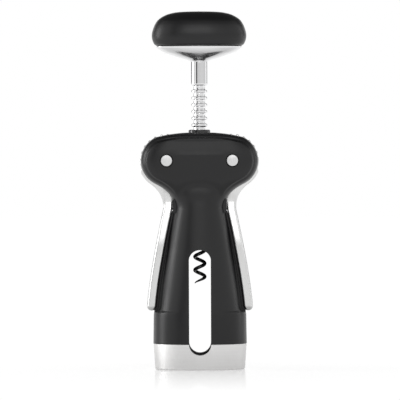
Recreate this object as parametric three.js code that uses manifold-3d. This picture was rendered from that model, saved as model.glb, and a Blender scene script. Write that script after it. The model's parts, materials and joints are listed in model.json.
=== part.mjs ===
// A winged corkscrew. Two geared levers on pivot pins drive a ring-toothed rack, which carries a worm,
// through a moulded body that stands over a bottle's neck. A knob on top turns the rack and the worm.
// Millimetres, +Z up, the front towards -Y. The origin is the middle of the base ring's underside.

import * as THREE from "three";
import { mergeVertices } from "three/addons/utils/BufferGeometryUtils.js";
import Module from "manifold-3d";

const wasm = await Module();
wasm.setup();

// ---- Driving dimensions: body ------------------------------------------------------------------

const bodyHeight = 135.4; // foot to the crown of the head
const headCrown = 16.0; // pivots up to the crown
const waistDrop = 27.2; // pivots down to the waist
const shelfHeight = 32.8; // ledge under the tips of the folded levers
const baseHalfWidth = 26.8; // just above the base ring
const baseWall = 6.85; // neck bore to the base's front and rear
const waistHalfWidth = 14.6;
const waistHalfDepth = 15.6;
const headHalfDepth = 14.5;
const headEdgeRadius = 3.4; // rounding round the head's front and rear faces
const coverInset = 0.45; // how far the gear tips stand past the covers
const seamGap = 0.2; // parting line between the shells

// Hollows.
const neckRadius = 15.75; // room for a bottle's neck
const neckDepth = 46; // foot to the lip stop
const corkRadius = 12.75; // room for the cork above the lip stop
const windowWidth = 12.6;
const windowTop = 68.4;
const windowBottom = 8.5;

// Base ring and the neck guide inside it.
const ringHeight = 14.8;
const ringWall = 2.0;
const ringTaper = 1.0; // how much the ring narrows towards its foot
const ringEdge = 0.5; // chamfer at the ring's foot
const guideRecess = 0.8; // the neck guide stops short of the table
const guideFlange = 3.0; // thickness of its flange
const guideWall = 1.5;
const guideTop = 13.2;
const mouthFlare = 1.3; // lead-in at the neck guide's mouth

// ---- Driving dimensions: gears and levers --------------------------------------------------------

const teethPerTurn = 24;
const toothPitch = 3.85;
const toothPlay = 0.45; // backlash on the pitch line
const toothFlank = Math.tan(THREE.MathUtils.degToRad(20));
const tipRoom = 0.15; // gear tips to the rack's core
const rootRoom = 0.25; // rack tips to the gear's root
const shankRadius = 4.85;
const rackRelief = 0.15; // the ring teeth stand this much inside the shank
const toothTip = 0.6; // pitch line out to the rings' tips
const toothRoot = 0.7; // pitch line in to the rack's core
const rackPhase = -0.8; // place of the rack's gap in mesh, from the pivots' height
const leverSwing = 147; // degrees, folded to raised
const hubThickness = 7.0;
const hubWeb = 1.0; // how far the hub stands past the gear tips at the arm's root
const armThickness = 5.8;
const armHalfWidth = 7.8;
const armOverhang = 0.9; // middle of the arm's tip past the base's side
const tipGap = 0.8; // arm's tip over the shelf
const leverGap = 0.5; // arm to waist
const channelGap = 0.7; // arm to the body's side, just over the shelf
const slotRoom = 0.5; // each side of the hub in the slot between the covers

// ---- Driving dimensions: rack, worm and knob -----------------------------------------------------

const rackTail = 20.4; // pivots down to the rack's lower end
const wormBore = 1.75; // radius of the worm's shank
const wormWire = 0.95; // radius of the wire
const wormRadius = 2.82; // helix, to the middle of the wire
const wormPitch = 7.64;
const wormReach = 11.3; // tip over the table when the rack is down
const wormTipTurn = 180; // degrees about the axis at which the tip ends, from +X
const crossPinRadius = 0.6;
const crossPinDrop = 4.0; // over the rack's lower end
const collarWall = 0.95; // round the shank
const collarLip = 0.4; // how far its flange stands past its barrel
const collarRise = 1.7; // over the crown
const collarSeat = 0.3; // depth of its seat in the crown
const collarDepth = 6.0; // barrel below the crown
const knobGap = 1.2; // knob over the collar when the rack is down
const bushWall = 1.8; // lower rack guide, round the rack's tips
const guideRoom = 0.3; // rack tips to its bore
const guideLip = 1.4;
const knobHalfWidth = 27.1;
const knobHalfDepth = 17.2;
const rimHalfWidth = 24.6;
const rimHalfDepth = 11.2;
const flareHeight = 9.0;
const gripHeight = 19.6;
const gripWall = 4.5;

// ---- Driving dimensions: fasteners and fits ------------------------------------------------------

const pinRadius = 3.0;
const pinHeadRadius = 3.3;
const pinHeadHeight = 1.8;
const pinRecess = 0.55; // room round a pin's head
const pinStud = 1.5;
const screwRadius = 1.25;
const screwHeadRadius = 2.5;
const screwHeadHeight = 2.0;
const socketRadius = 1.2;
const runningFit = 0.1; // radial, round what turns or slides
const closeFit = 0.15; // radial, round what stays put
const faceGap = 0.3; // between faces that a boolean cut leaves

// Sides of the facets round ovals, hollows and bushes, the rack, and small rods.
const ovalSides = 40;
const roundSides = 24;
const rackSides = 16;
const smallSides = 12;

// ---- Worked out from them ------------------------------------------------------------------------

const baseHalfDepth = neckRadius + baseWall;
const rackTipRadius = shankRadius - rackRelief;
const rackPitchRadius = rackTipRadius - toothTip;
const rackCoreRadius = rackPitchRadius - toothRoot;
const gearPitchRadius = (teethPerTurn * toothPitch) / (2 * Math.PI);
const gearTipRadius = gearPitchRadius + toothRoot - tipRoom;
const gearRootRadius = gearPitchRadius - toothTip - rootRoom;
const collarBarrel = shankRadius + runningFit + collarWall;
const collarRadius = collarBarrel + collarLip;
const guideBore = rackTipRadius + guideRoom;
const guideBarrel = guideBore + bushWall;
const hubRadius = gearTipRadius + hubWeb;
const coverRadius = gearTipRadius - coverInset;
const pivotX = rackPitchRadius + gearPitchRadius;
const pivotHeight = bodyHeight - headCrown;
const waistHeight = pivotHeight - waistDrop;
const travel = THREE.MathUtils.degToRad(leverSwing) * gearPitchRadius;
const slotHalf = hubThickness / 2 + slotRoom;
const waistArm = waistHalfWidth + leverGap + armThickness / 2; // arm's middle at the waist
const tipArm = baseHalfWidth + armOverhang; // arm's middle at its tip
const tipHeight = shelfHeight + tipGap;
const collarTop = bodyHeight + collarRise;
const shoulder = collarTop + travel + knobGap; // rack's shank ends and the knob begins
const rackFoot = pivotHeight - rackTail;
const topTooth = Math.floor(travel / toothPitch) + 1; // rack teeth above the mesh, less one
const shankFoot = pivotHeight + rackPhase + (topTooth + 1.5) * toothPitch;
const rimHeight = shoulder + flareHeight;
const guideFoot = waistHeight + 0.8;
const guideHead = pivotHeight - 12.4;
const fullTurn = 2 * Math.PI;

// ---- Finishes ------------------------------------------------------------------------------------

const finish = (color, roughness, metalness) =>
  new THREE.MeshStandardMaterial({ color, roughness, metalness });
const softTouch = finish(0x2e2e30, 0.7, 0);
const gloss = finish(0x151517, 0.2, 0);
const hardPlastic = finish(0x1c1c1e, 0.5, 0);
const satinSteel = finish(0xc9cacc, 0.32, 1);
const polishedSteel = finish(0xdcdddf, 0.14, 1);
const coatedSteel = finish(0x1a1a1b, 0.3, 0.6);

// ---- Shape helpers -------------------------------------------------------------------------------

// A smooth value through [at, value] pairs: a cubic on each stretch, with its neighbours' mean slope.
function smooth(pairs) {
  const last = pairs.length - 1;
  const slope = (i) => {
    const low = pairs[Math.max(i - 1, 0)];
    const high = pairs[Math.min(i + 1, last)];
    return (high[1] - low[1]) / (high[0] - low[0]);
  };
  return (at) => {
    let i = 0;
    while (i < last - 1 && at > pairs[i + 1][0]) i++;
    const [start, from] = pairs[i];
    const [end, to] = pairs[i + 1];
    const span = end - start;
    const t = THREE.MathUtils.clamp((at - start) / span, 0, 1);
    const s = 1 - t;
    return (
      from * (1 + 2 * t) * s * s +
      slope(i) * span * t * s * s +
      to * t * t * (3 - 2 * t) -
      slope(i + 1) * span * t * t * s
    );
  };
}

// A closed geometry as a solid that can be joined and cut.
function solid(geometry) {
  const bare = geometry.clone();
  bare.deleteAttribute("normal");
  bare.deleteAttribute("uv");
  const merged = mergeVertices(bare, 1e-4);
  return new wasm.Manifold(
    new wasm.Mesh({
      numProp: 3,
      vertProperties: merged.getAttribute("position").array,
      triVerts: new Uint32Array(merged.index.array),
    }),
  );
}

// A solid as a named mesh with a finish.
function piece(name, shape, material) {
  const mesh = shape.getMesh();
  const geometry = new THREE.BufferGeometry();
  geometry.setAttribute("position", new THREE.BufferAttribute(mesh.vertProperties, 3));
  geometry.setIndex(new THREE.BufferAttribute(mesh.triVerts, 1));
  geometry.computeVertexNormals();
  const made = new THREE.Mesh(geometry, material);
  made.name = name;
  return made;
}

// A closed skin over rows of points, with flat ends: a cylinder whose rows are moved to at(row, angle).
function skin(rows, sides, at) {
  const geometry = new THREE.CylinderGeometry(1, 1, 1, sides, rows - 1);
  geometry.rotateX(Math.PI / 2);
  const place = geometry.getAttribute("position");
  for (let i = 0; i < place.count; i++) {
    const row = Math.round((place.getZ(i) + 0.5) * (rows - 1));
    const onRim = Math.hypot(place.getX(i), place.getY(i)) > 0.5;
    const angle = Math.atan2(place.getY(i), place.getX(i));
    const point = onRim ? at(row, angle) : at(row, 0).add(at(row, Math.PI)).multiplyScalar(0.5);
    place.setXYZ(i, point.x, point.y, point.z);
  }
  return solid(geometry);
}

// Upright sections { z, a, b, n }: a superellipse of half width a and half depth b at each height.
function upright(sections, sides) {
  const power = (value, n) => Math.sign(value) * Math.abs(value) ** (2 / n);
  return skin(sections.length, sides, (row, angle) => {
    const { z, a, b, n } = sections[row];
    return new THREE.Vector3(a * power(Math.cos(angle), n), b * power(Math.sin(angle), n), z);
  });
}

// A turned solid about the Z axis, from [radius, height] points that run from the bottom to the top.
function turned(points, sides) {
  const profile = points.map(([radius, height]) => new THREE.Vector2(radius, height));
  const geometry = new THREE.LatheGeometry(profile, sides);
  geometry.rotateX(Math.PI / 2);
  return solid(geometry);
}

// A round rod along Z, and one along Y through (x, z).
function rodZ(radius, from, to, sides = roundSides) {
  const geometry = new THREE.CylinderGeometry(radius, radius, to - from, sides);
  geometry.rotateX(Math.PI / 2);
  geometry.translate(0, 0, (from + to) / 2);
  return solid(geometry);
}
function rodY(radius, from, to, x, z, sides = roundSides) {
  const geometry = new THREE.CylinderGeometry(radius, radius, to - from, sides);
  geometry.translate(x, (from + to) / 2, z);
  return solid(geometry);
}

// An outline in X and Z, given as points, made solid from one Y to another.
function plate(outline, from, to) {
  const geometry = new THREE.ExtrudeGeometry(new THREE.Shape(outline), {
    depth: to - from,
    bevelEnabled: false,
    curveSegments: 16,
  });
  geometry.rotateX(Math.PI / 2);
  geometry.translate(0, to, 0);
  return solid(geometry);
}

// A point at a radius and an angle in degrees from +X towards +Z, and points on an arc about (x, z).
function polar(radius, degrees) {
  const angle = THREE.MathUtils.degToRad(degrees);
  return new THREE.Vector2(radius * Math.cos(angle), radius * Math.sin(angle));
}
function arc(x, z, radius, from, to, steps) {
  const middle = new THREE.Vector2(x, z);
  return Array.from({ length: steps + 1 }, (_, i) =>
    polar(radius, from + ((to - from) * i) / steps).add(middle),
  );
}

// A round wire along a curve, with its radius given along its length.
function wire(curve, steps, sides, radiusAt) {
  const frames = curve.computeFrenetFrames(steps, false);
  return skin(steps + 1, sides, (row, angle) => {
    const radius = radiusAt(row / steps);
    return curve
      .getPointAt(row / steps)
      .addScaledVector(frames.normals[row], radius * Math.cos(angle))
      .addScaledVector(frames.binormals[row], radius * Math.sin(angle));
  });
}

const join = (...solids) => solids.reduce((all, next) => all.add(next));
const cut = (from, ...solids) => solids.reduce((all, next) => all.subtract(next), from);

// ---- Body ----------------------------------------------------------------------------------------

// The arm's middle, outwards from the axis, at a height below the waist.
function armAt(z) {
  const share = THREE.MathUtils.clamp((waistHeight - z) / (waistHeight - tipHeight), 0, 1);
  return waistArm + (tipArm - waistArm) * (1 - (1 - share) ** 1.35);
}

// The body's side behind the folded arm.
function channelAt(z) {
  const share = (waistHeight - z) / (waistHeight - shelfHeight);
  return armAt(z) - armThickness / 2 - THREE.MathUtils.lerp(leverGap, channelGap, share);
}

const depthAt = smooth([
  [ringHeight, baseHalfDepth],
  [shelfHeight, baseHalfDepth - 0.6],
  [waistHeight, waistHalfDepth],
  [pivotHeight - 18, headHalfDepth + 0.1],
  [pivotHeight - 10, headHalfDepth],
  [pivotHeight + 10, headHalfDepth],
]);
const squareAt = smooth([
  [ringHeight, 2.3],
  [waistHeight, 2.3],
  [pivotHeight - 14, 3.6],
  [pivotHeight - 8, 4.4],
  [bodyHeight, 4.4],
]);
const baseDepthShare = baseHalfDepth / baseHalfWidth;
const ringOuter = (z) => baseHalfWidth - 0.1 - ringTaper * (1 - z / ringHeight);

// An oval inside the base ring's outline, at a height and a distance in from it.
function footSection(z, inset) {
  const a = ringOuter(z);
  return { z, a: a - inset, b: a * baseDepthShare - inset, n: 2.3 };
}

function bodySections() {
  const spigot = ringWall + closeFit;
  const rows = [footSection(guideRecess + guideFlange + faceGap, spigot), footSection(ringHeight, spigot)];
  const add = (z, a) => rows.push({ z, a, b: depthAt(z), n: squareAt(z) });
  // Base, rounded over into the shelf, then up the channel's side.
  const channelFoot = channelAt(shelfHeight);
  const ledge = baseHalfWidth - 0.3 - channelFoot;
  add(ringHeight, baseHalfWidth);
  add(shelfHeight - 2.4, baseHalfWidth - 0.3);
  add(shelfHeight - 0.7, channelFoot + ledge * 0.84);
  add(shelfHeight, channelFoot + ledge * 0.5);
  add(shelfHeight + 0.9, channelFoot + ledge * 0.18);
  for (let i = 0; i <= 6; i++) {
    const z = THREE.MathUtils.lerp(shelfHeight + 3, waistHeight, i / 6);
    add(z, channelAt(z));
  }
  // Waist to the head's underside, then round the covers' outline to the crown.
  const under = arc(pivotX, pivotHeight, coverRadius, -62, 64, 12);
  const lean = new THREE.Vector2(Math.sin(-1.08), -Math.cos(-1.08)).multiplyScalar(5);
  const fillet = new THREE.CubicBezierCurve(
    new THREE.Vector2(waistHalfWidth, waistHeight),
    new THREE.Vector2(waistHalfWidth, waistHeight + 8.5),
    under[0].clone().add(lean),
    under[0],
  );
  fillet.getPoints(7).slice(1, -1).forEach((point) => add(point.y, point.x));
  under.forEach((point) => add(point.y, point.x));
  const shoulderTop = under[under.length - 1];
  const crown = new THREE.CubicBezierCurve(
    shoulderTop,
    new THREE.Vector2(pivotX + 1, pivotHeight + coverRadius + 0.1),
    new THREE.Vector2(collarRadius * 2, bodyHeight - 0.2),
    new THREE.Vector2(collarRadius + 1.2, bodyHeight),
  );
  crown.getPoints(5).slice(1).forEach((point) => add(point.y, point.x));
  // The front and rear faces round over towards the crown.
  const edge = bodyHeight - headEdgeRadius;
  rows.filter((row) => row.z > edge).forEach((row) => {
    const rise = Math.min(row.z - edge, headEdgeRadius);
    row.b += Math.sqrt(headEdgeRadius ** 2 - rise ** 2) - headEdgeRadius;
  });
  return rows;
}

// The slot between the covers in which the gears and the arms' roots move, on one side.
function gearSlot(side) {
  const out = baseHalfWidth + pivotX;
  const root = waistHalfWidth + leverGap; // the arm's inner edge at the waist
  const points = [
    ...arc(pivotX, pivotHeight, hubRadius + slotRoom, -40, 140, 18),
    ...arc(pivotX, pivotHeight, gearTipRadius + slotRoom, 145, 225, 10),
    new THREE.Vector2(root - 2.7, pivotHeight - 15.2),
    new THREE.Vector2(root - 1.8, pivotHeight - 21),
    new THREE.Vector2(root - 1, waistHeight - 1),
    new THREE.Vector2(out, waistHeight - 1),
    new THREE.Vector2(out, pivotHeight - 8),
  ];
  return plate(points.map((point) => new THREE.Vector2(side * point.x, point.y)), -slotHalf, slotHalf);
}

// The window's round-ended slot, right through the body.
function windowSlot() {
  const radius = windowWidth / 2;
  return plate(
    [
      ...arc(0, windowTop - radius, radius, 0, 180, 12),
      ...arc(0, windowBottom + radius, radius, 180, 360, 12),
    ],
    -baseHalfWidth * 2,
    baseHalfWidth * 2,
  );
}

const screwSpots = [
  { name: "upper", x: 9.6, z: pivotHeight - 19.4, seat: 8.0, depth: 8.5 },
  { name: "lower", x: (neckRadius + baseHalfWidth) / 2, z: ringHeight + 8.4, seat: 9.0, depth: 8.5 },
];
const baseScrewAngle = THREE.MathUtils.degToRad(26);
const baseScrewRadius = (neckRadius + guideWall + baseHalfWidth - ringWall) / 2 - 0.6;
const sides = [
  { name: "left", side: -1 },
  { name: "right", side: 1 },
];
const halves = [
  { name: "front", half: -1 },
  { name: "rear", half: 1 },
];
const pinSeat = headHalfDepth - pinHeadHeight - 0.1;

function hollows() {
  const sleeve = neckRadius + guideWall + closeFit;
  const cavity = turned(
    [
      [0, -1],
      [sleeve, -1],
      [sleeve, guideTop + faceGap],
      [neckRadius + 0.25, guideTop + faceGap],
      [neckRadius + 0.25, neckDepth],
      [corkRadius, neckDepth + 2.5],
      [corkRadius, waistHeight - 9],
      [shankRadius + 0.8, waistHeight - 1.8],
      [shankRadius + 0.8, guideFoot - faceGap],
      [guideBarrel + guideLip + closeFit, guideFoot - faceGap],
      [guideBarrel + guideLip + closeFit, guideFoot + 2.2 + faceGap],
      [guideBarrel + closeFit, guideFoot + 2.2 + faceGap],
      [guideBarrel + closeFit, guideHead + faceGap],
      [shankRadius + 0.6, guideHead + faceGap],
      [shankRadius + 0.6, bodyHeight - collarDepth - faceGap],
      [collarBarrel + runningFit, bodyHeight - collarDepth - faceGap],
      [collarBarrel + runningFit, bodyHeight - collarSeat],
      [collarRadius + 0.3, bodyHeight - collarSeat],
      [collarRadius + 0.3, bodyHeight + 1],
      [0, bodyHeight + 1],
    ],
    roundSides,
  );
  const cuts = [cavity, windowSlot()];
  sides.forEach(({ side }) => {
    const x = side * pivotX;
    cuts.push(gearSlot(side));
    cuts.push(rodY(pinRadius + closeFit, -40, 40, x, pivotHeight));
    cuts.push(rodY(pinHeadRadius + pinRecess, -40, -pinSeat, x, pivotHeight));
    cuts.push(rodY(pinHeadRadius + pinRecess, pinSeat, 40, x, pivotHeight));
    screwSpots.forEach((spot) => {
      cuts.push(rodY(screwRadius + closeFit, -spot.depth - 0.5, spot.seat + 1, side * spot.x, spot.z, smallSides));
      cuts.push(rodY(screwHeadRadius + closeFit, spot.seat, 40, side * spot.x, spot.z, smallSides));
    });
    halves.forEach(({ half }) => {
      const reach = rodZ(screwRadius + closeFit, -1, ringHeight - 1.5, smallSides);
      cuts.push(reach.translate(baseScrewPlace(side, half)));
    });
  });
  return cuts;
}

function baseScrewPlace(side, half) {
  const along = side * baseScrewRadius * Math.cos(baseScrewAngle);
  return [along, half * baseScrewRadius * Math.sin(baseScrewAngle), 0];
}

// The two shells: the whole body, hollowed, and parted along the middle.
function shells() {
  const whole = cut(upright(bodySections(), ovalSides), ...hollows());
  const reach = bodyHeight * 2;
  return halves.map(({ name, half }) => {
    const room = new THREE.BoxGeometry(reach, reach, reach * 2);
    room.translate(0, (half * (reach + seamGap)) / 2, 0);
    return piece(name + "_shell", whole.intersect(solid(room)), softTouch);
  });
}

// The base ring, open inside, with a notch in its front and rear under the window.
function baseRing() {
  const outer = upright(
    [footSection(0, ringEdge), footSection(ringEdge, 0), footSection(ringHeight, 0)],
    ovalSides,
  );
  const inner = upright([footSection(-1, ringWall), footSection(ringHeight + 1, ringWall)], ovalSides);
  return piece("base_ring", cut(outer, inner, windowSlot()), satinSteel);
}

// The neck guide: a sleeve with a flared mouth, and a flange that fills the ring's foot.
function neckGuide() {
  const inset = ringWall + closeFit;
  const flange = upright([footSection(guideRecess, inset), footSection(guideRecess + guideFlange, inset)], ovalSides);
  const sleeve = rodZ(neckRadius + guideWall, guideRecess, guideTop);
  const mouth = turned(
    [
      [0, -1],
      [neckRadius + mouthFlare, -1],
      [neckRadius + mouthFlare, guideRecess],
      [neckRadius, guideRecess + 2.4],
      [neckRadius, guideTop + 1],
      [0, guideTop + 1],
    ],
    roundSides,
  );
  const cuts = [mouth, windowSlot()];
  sides.forEach(({ side }) =>
    halves.forEach(({ half }) => {
      const place = baseScrewPlace(side, half);
      cuts.push(rodZ(screwRadius + closeFit, -1, guideTop, smallSides).translate(place));
      cuts.push(rodZ(screwHeadRadius - 0.35, -1, guideRecess + 1.5, smallSides).translate(place));
    }),
  );
  return piece("neck_guide", cut(join(flange, sleeve), ...cuts), hardPlastic);
}

// The lower bush that keeps the rack on the axis, held in the shells by its lip.
function rackGuide() {
  const points = [
    [guideBore, guideFoot],
    [guideBarrel + guideLip, guideFoot],
    [guideBarrel + guideLip, guideFoot + 2.2],
    [guideBarrel, guideFoot + 2.2],
    [guideBarrel, guideHead],
    [guideBore, guideHead],
    [guideBore, guideFoot],
  ];
  return piece("rack_guide", turned(points, roundSides), hardPlastic);
}

// A screw along Z, pointing up from its head's outer face at the origin, with a hexagonal socket.
function screw(headRadius, headHeight, length) {
  const body = join(rodZ(headRadius, 0, headHeight, smallSides), rodZ(screwRadius, headHeight / 2, length, smallSides));
  return cut(body, rodZ(Math.min(socketRadius, headRadius * 0.55), -1, headHeight * 0.6, 6));
}

function shellScrews() {
  return sides.flatMap(({ name, side }) =>
    screwSpots.map((spot) => {
      const head = spot.seat + screwHeadHeight;
      const shape = screw(screwHeadRadius, screwHeadHeight, head + spot.depth);
      const made = piece("shell_screw_" + spot.name + "_" + name, shape, satinSteel);
      made.rotation.x = Math.PI / 2;
      made.position.set(side * spot.x, head, spot.z);
      return made;
    }),
  );
}

function baseScrews() {
  return sides.flatMap(({ name, side }) =>
    halves.map(({ name: end, half }) => {
      const shape = screw(screwHeadRadius - 0.5, 1.3, ringHeight - guideRecess - 2.2);
      const made = piece("base_screw_" + end + "_" + name, shape, satinSteel);
      const [x, y] = baseScrewPlace(side, half);
      made.position.set(x, y, guideRecess + 0.2);
      return made;
    }),
  );
}

// A pivot pin along Y with its flat head in the front cover, and the cap that screws into its rear end.
function pivotPin(name) {
  const face = pinSeat + pinHeadHeight;
  const shaft = rodY(pinRadius, -pinSeat - 0.2, pinSeat - faceGap, 0, 0);
  const head = rodY(pinHeadRadius, -face, -pinSeat, 0, 0);
  const thread = rodY(pinStud + closeFit, slotHalf, pinSeat, 0, 0, smallSides);
  const pin = piece(name + "_pivot_pin", cut(join(shaft, head), thread), satinSteel);
  const stud = rodY(pinStud, slotHalf + 1, pinSeat + 0.2, 0, 0, smallSides);
  const cap = rodY(pinHeadRadius, pinSeat, face, 0, 0);
  return [pin, piece(name + "_pin_cap", join(stud, cap), satinSteel)];
}

// ---- Levers --------------------------------------------------------------------------------------

// The gear's teeth round the top of the hub, as points about the pivot, from the outer side to below the mesh.
function gearTeeth() {
  const step = 360 / teethPerTurn;
  const meshAngle = 180 - THREE.MathUtils.radToDeg(rackPhase / gearPitchRadius);
  const pitchHalf = (toothPitch - toothPlay) / 4;
  const corners = [gearRootRadius, gearTipRadius].map((radius) => ({
    radius,
    half: THREE.MathUtils.radToDeg((pitchHalf - (radius - gearPitchRadius) * toothFlank) / radius),
  }));
  const [root, tip] = corners;
  const points = [];
  for (let tooth = Math.ceil(leverSwing / step) + 1; tooth >= -1; tooth--) {
    const middle = meshAngle - tooth * step;
    points.push(
      polar(root.radius, middle - root.half),
      polar(tip.radius, middle - tip.half),
      polar(tip.radius, middle + tip.half),
      polar(root.radius, middle + root.half),
    );
  }
  return points;
}

// The hub's outline about the pivot: outer rim, teeth over the top, and the arm's root down to the waist.
function hubOutline() {
  const inner = waistArm - armThickness / 2 - pivotX;
  const outer = waistArm + armThickness / 2 - pivotX;
  return [
    ...arc(0, 0, gearTipRadius, -18, 6, 4),
    ...gearTeeth(),
    ...arc(0, 0, gearRootRadius, 206, 248, 5),
    new THREE.Vector2(inner - 0.5, -18.4),
    new THREE.Vector2(inner, -22.5),
    new THREE.Vector2(inner, -waistDrop),
    new THREE.Vector2(outer, -waistDrop),
    new THREE.Vector2(outer + 0.1, -22.8),
    new THREE.Vector2(outer + 1.7, -18.8),
    new THREE.Vector2(outer + 3.4, -16.3),
    ...arc(0, 0, hubRadius, -62, -26, 6),
  ];
}

// The arm: rounded sections from inside the hub, out past the waist, to a rounded tip.
function arm() {
  const halfWidthAt = smooth([
    [tipHeight, armHalfWidth - 0.4],
    [waistHeight - 22, armHalfWidth],
    [waistHeight - 8, armHalfWidth - 2.2],
    [waistHeight + 4, hubThickness / 2],
  ]);
  const half = armThickness / 2;
  const rows = [];
  for (let i = 0; i <= 14; i++) {
    const z = THREE.MathUtils.lerp(waistHeight + 5, tipHeight + half, i / 14);
    rows.push({ z, thick: half, wide: halfWidthAt(z) });
  }
  for (let i = 1; i <= 4; i++) {
    const turn = (i * Math.PI) / 2 / 4.3;
    const shrink = half * (1 - Math.cos(turn));
    rows.push({
      z: tipHeight + half * (1 - Math.sin(turn)),
      thick: half - shrink,
      wide: halfWidthAt(tipHeight) - shrink,
    });
  }
  const power = (value) => Math.sign(value) * Math.abs(value) ** (2 / 3.2);
  return skin(rows.length, roundSides - 8, (row, angle) => {
    const { z, thick, wide } = rows[row];
    const along = armAt(z) - pivotX + thick * power(Math.sin(angle));
    return new THREE.Vector3(along, wide * power(Math.cos(angle)), z - pivotHeight);
  });
}

function lever(name, side) {
  const hub = plate(hubOutline(), -hubThickness / 2, hubThickness / 2);
  const hole = rodY(pinRadius + runningFit, -hubThickness, hubThickness, 0, 0);
  const right = cut(join(hub, arm()), hole);
  const shape = side > 0 ? right : right.mirror([1, 0, 0]);
  return piece(name + "_lever", shape, satinSteel);
}

// ---- Screw: knob, rack and worm --------------------------------------------------------------------

// The rack's ring teeth as [radius, height] points, from below the mesh to the shank.
function rackTeeth() {
  const pitchHalf = (toothPitch - toothPlay) / 4;
  const tipHalf = pitchHalf - toothTip * toothFlank;
  const coreHalf = pitchHalf + toothRoot * toothFlank;
  const points = [];
  for (let tooth = -2; tooth <= topTooth; tooth++) {
    const middle = pivotHeight + rackPhase + (tooth + 0.5) * toothPitch;
    points.push(
      [rackCoreRadius, middle - coreHalf],
      [rackTipRadius, middle - tipHalf],
      [rackTipRadius, middle + tipHalf],
      [rackCoreRadius, middle + coreHalf],
    );
  }
  return points;
}

function rack() {
  const bore = wormBore + closeFit;
  const tail = rackTipRadius - 0.4;
  const lastGap = pivotHeight + rackPhase - 2 * toothPitch;
  const stub = shankRadius - 1.4;
  const profile = [
    [0, rackFoot + 10.5],
    [bore, rackFoot + 10.5],
    [bore, rackFoot],
    [tail - 0.5, rackFoot],
    [tail, rackFoot + 0.5],
    [tail, lastGap - 1.2],
    [rackCoreRadius, lastGap - 0.4],
    ...rackTeeth(),
    [rackCoreRadius, shankFoot - 1],
    [shankRadius, shankFoot],
    [shankRadius, shoulder],
    [stub, shoulder],
    [stub, shoulder + 6],
    [screwRadius + closeFit, shoulder + 6],
    [screwRadius + closeFit, shoulder - 4],
    [0, shoulder - 4],
  ];
  const crossHole = rodY(crossPinRadius + closeFit / 2, -tail * 2, tail * 2, 0, rackFoot + crossPinDrop, smallSides);
  return piece("rack", cut(turned(profile, rackSides), crossHole), polishedSteel);
}

// The worm's middle line: a right-handed helix under a straight shank on the axis.
class WormLine extends THREE.Curve {
  getPoint(t, target = new THREE.Vector3()) {
    const foot = wormReach + travel;
    const head = rackFoot + 1;
    const z = THREE.MathUtils.lerp(foot, head, t);
    const angle = THREE.MathUtils.degToRad(wormTipTurn) + ((z - foot) / wormPitch) * fullTurn;
    const radius = wormRadius * THREE.MathUtils.smoothstep(head - z, 0.5, 5);
    return target.set(radius * Math.cos(angle), radius * Math.sin(angle), z);
  }
}

function worm() {
  const tip = 0.09; // share of the wire that tapers to the point
  const thickness = (share) => wormWire * Math.min(1, 0.12 + (0.88 * share) / tip);
  const coil = wire(new WormLine(), 76, 6, thickness);
  const shank = rodZ(wormBore, rackFoot + 0.3, rackFoot + 10, smallSides);
  const crossHole = rodY(crossPinRadius + closeFit / 2, -9, 9, 0, rackFoot + crossPinDrop, smallSides);
  return piece("worm", cut(join(coil, shank), crossHole), coatedSteel);
}

function wormPin() {
  const half = rackTipRadius - 0.5;
  return piece("worm_pin", rodY(crossPinRadius, -half, half, 0, rackFoot + crossPinDrop, smallSides), satinSteel);
}

// The bush in the crown: a flange that shows, on a barrel that guides the rack's shank.
function topCollar() {
  const bore = shankRadius + runningFit;
  const seat = bodyHeight - collarSeat;
  const points = [
    [bore, bodyHeight - collarDepth],
    [collarBarrel, bodyHeight - collarDepth],
    [collarBarrel, seat],
    [collarRadius, seat],
    [collarRadius, collarTop - 0.4],
    [collarRadius - 0.4, collarTop],
    [bore, collarTop],
    [bore, bodyHeight - collarDepth],
  ];
  return piece("top_collar", turned(points, roundSides), gloss);
}

// The knob's oval base: a shallow flare from the shank to a thin rim, with a boss for the grip's insert.
function knobCore() {
  const flare = [
    [0, 0.0],
    [0.05, 0.02],
    [0.15, 0.14],
    [0.26, 0.315],
    [0.4, 0.515],
    [0.61, 0.775],
    [0.86, 0.965],
    [0.96, 1.0],
    [1.0, 0.99],
  ];
  const spread = (share, rim) => THREE.MathUtils.lerp(shankRadius + 0.1, rim, share);
  const sections = flare.map(([up, out]) => ({
    z: shoulder + flareHeight * up,
    a: spread(out, rimHalfWidth),
    b: spread(out, rimHalfDepth),
    n: 2 + 0.4 * out,
  }));
  const boss = rodZ(6, rimHeight - 1, rimHeight + 3);
  const stubHole = rodZ(shankRadius - 1.4 + closeFit, shoulder - 1, shoulder + 6.3);
  const screwHole = rodZ(screwRadius + closeFit, shoulder, rimHeight + 9, smallSides);
  return piece("knob_core", cut(join(upright(sections, ovalSides), boss), stubHole, screwHole), polishedSteel);
}

// The screw that holds the core on the rack, head up on the boss.
function knobScrew() {
  const seat = rimHeight + 3;
  const made = piece("knob_screw", screw(3.2, 2.2, seat + 2.2 - shoulder + 3), satinSteel);
  made.rotation.x = Math.PI;
  made.position.z = seat + 2.2;
  return made;
}

// Sections of the grip: a rounded oval that swells over its rim and closes at the top.
function gripSections(inset) {
  const swell = [
    [0, 0.92],
    [0.06, 0.955],
    [0.17, 0.988],
    [0.29, 1.0],
    [0.4, 0.99],
    [0.52, 0.965],
    [0.64, 0.925],
    [0.76, 0.86],
    [0.87, 0.74],
    [0.94, 0.6],
    [0.985, 0.38],
    [1.0, 0.12],
  ];
  const height = gripHeight - inset;
  return swell.map(([up, out]) => ({
    z: rimHeight + 0.25 + height * up,
    a: knobHalfWidth * out - inset,
    b: knobHalfDepth * out - inset,
    n: 2.35,
  }));
}

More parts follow.
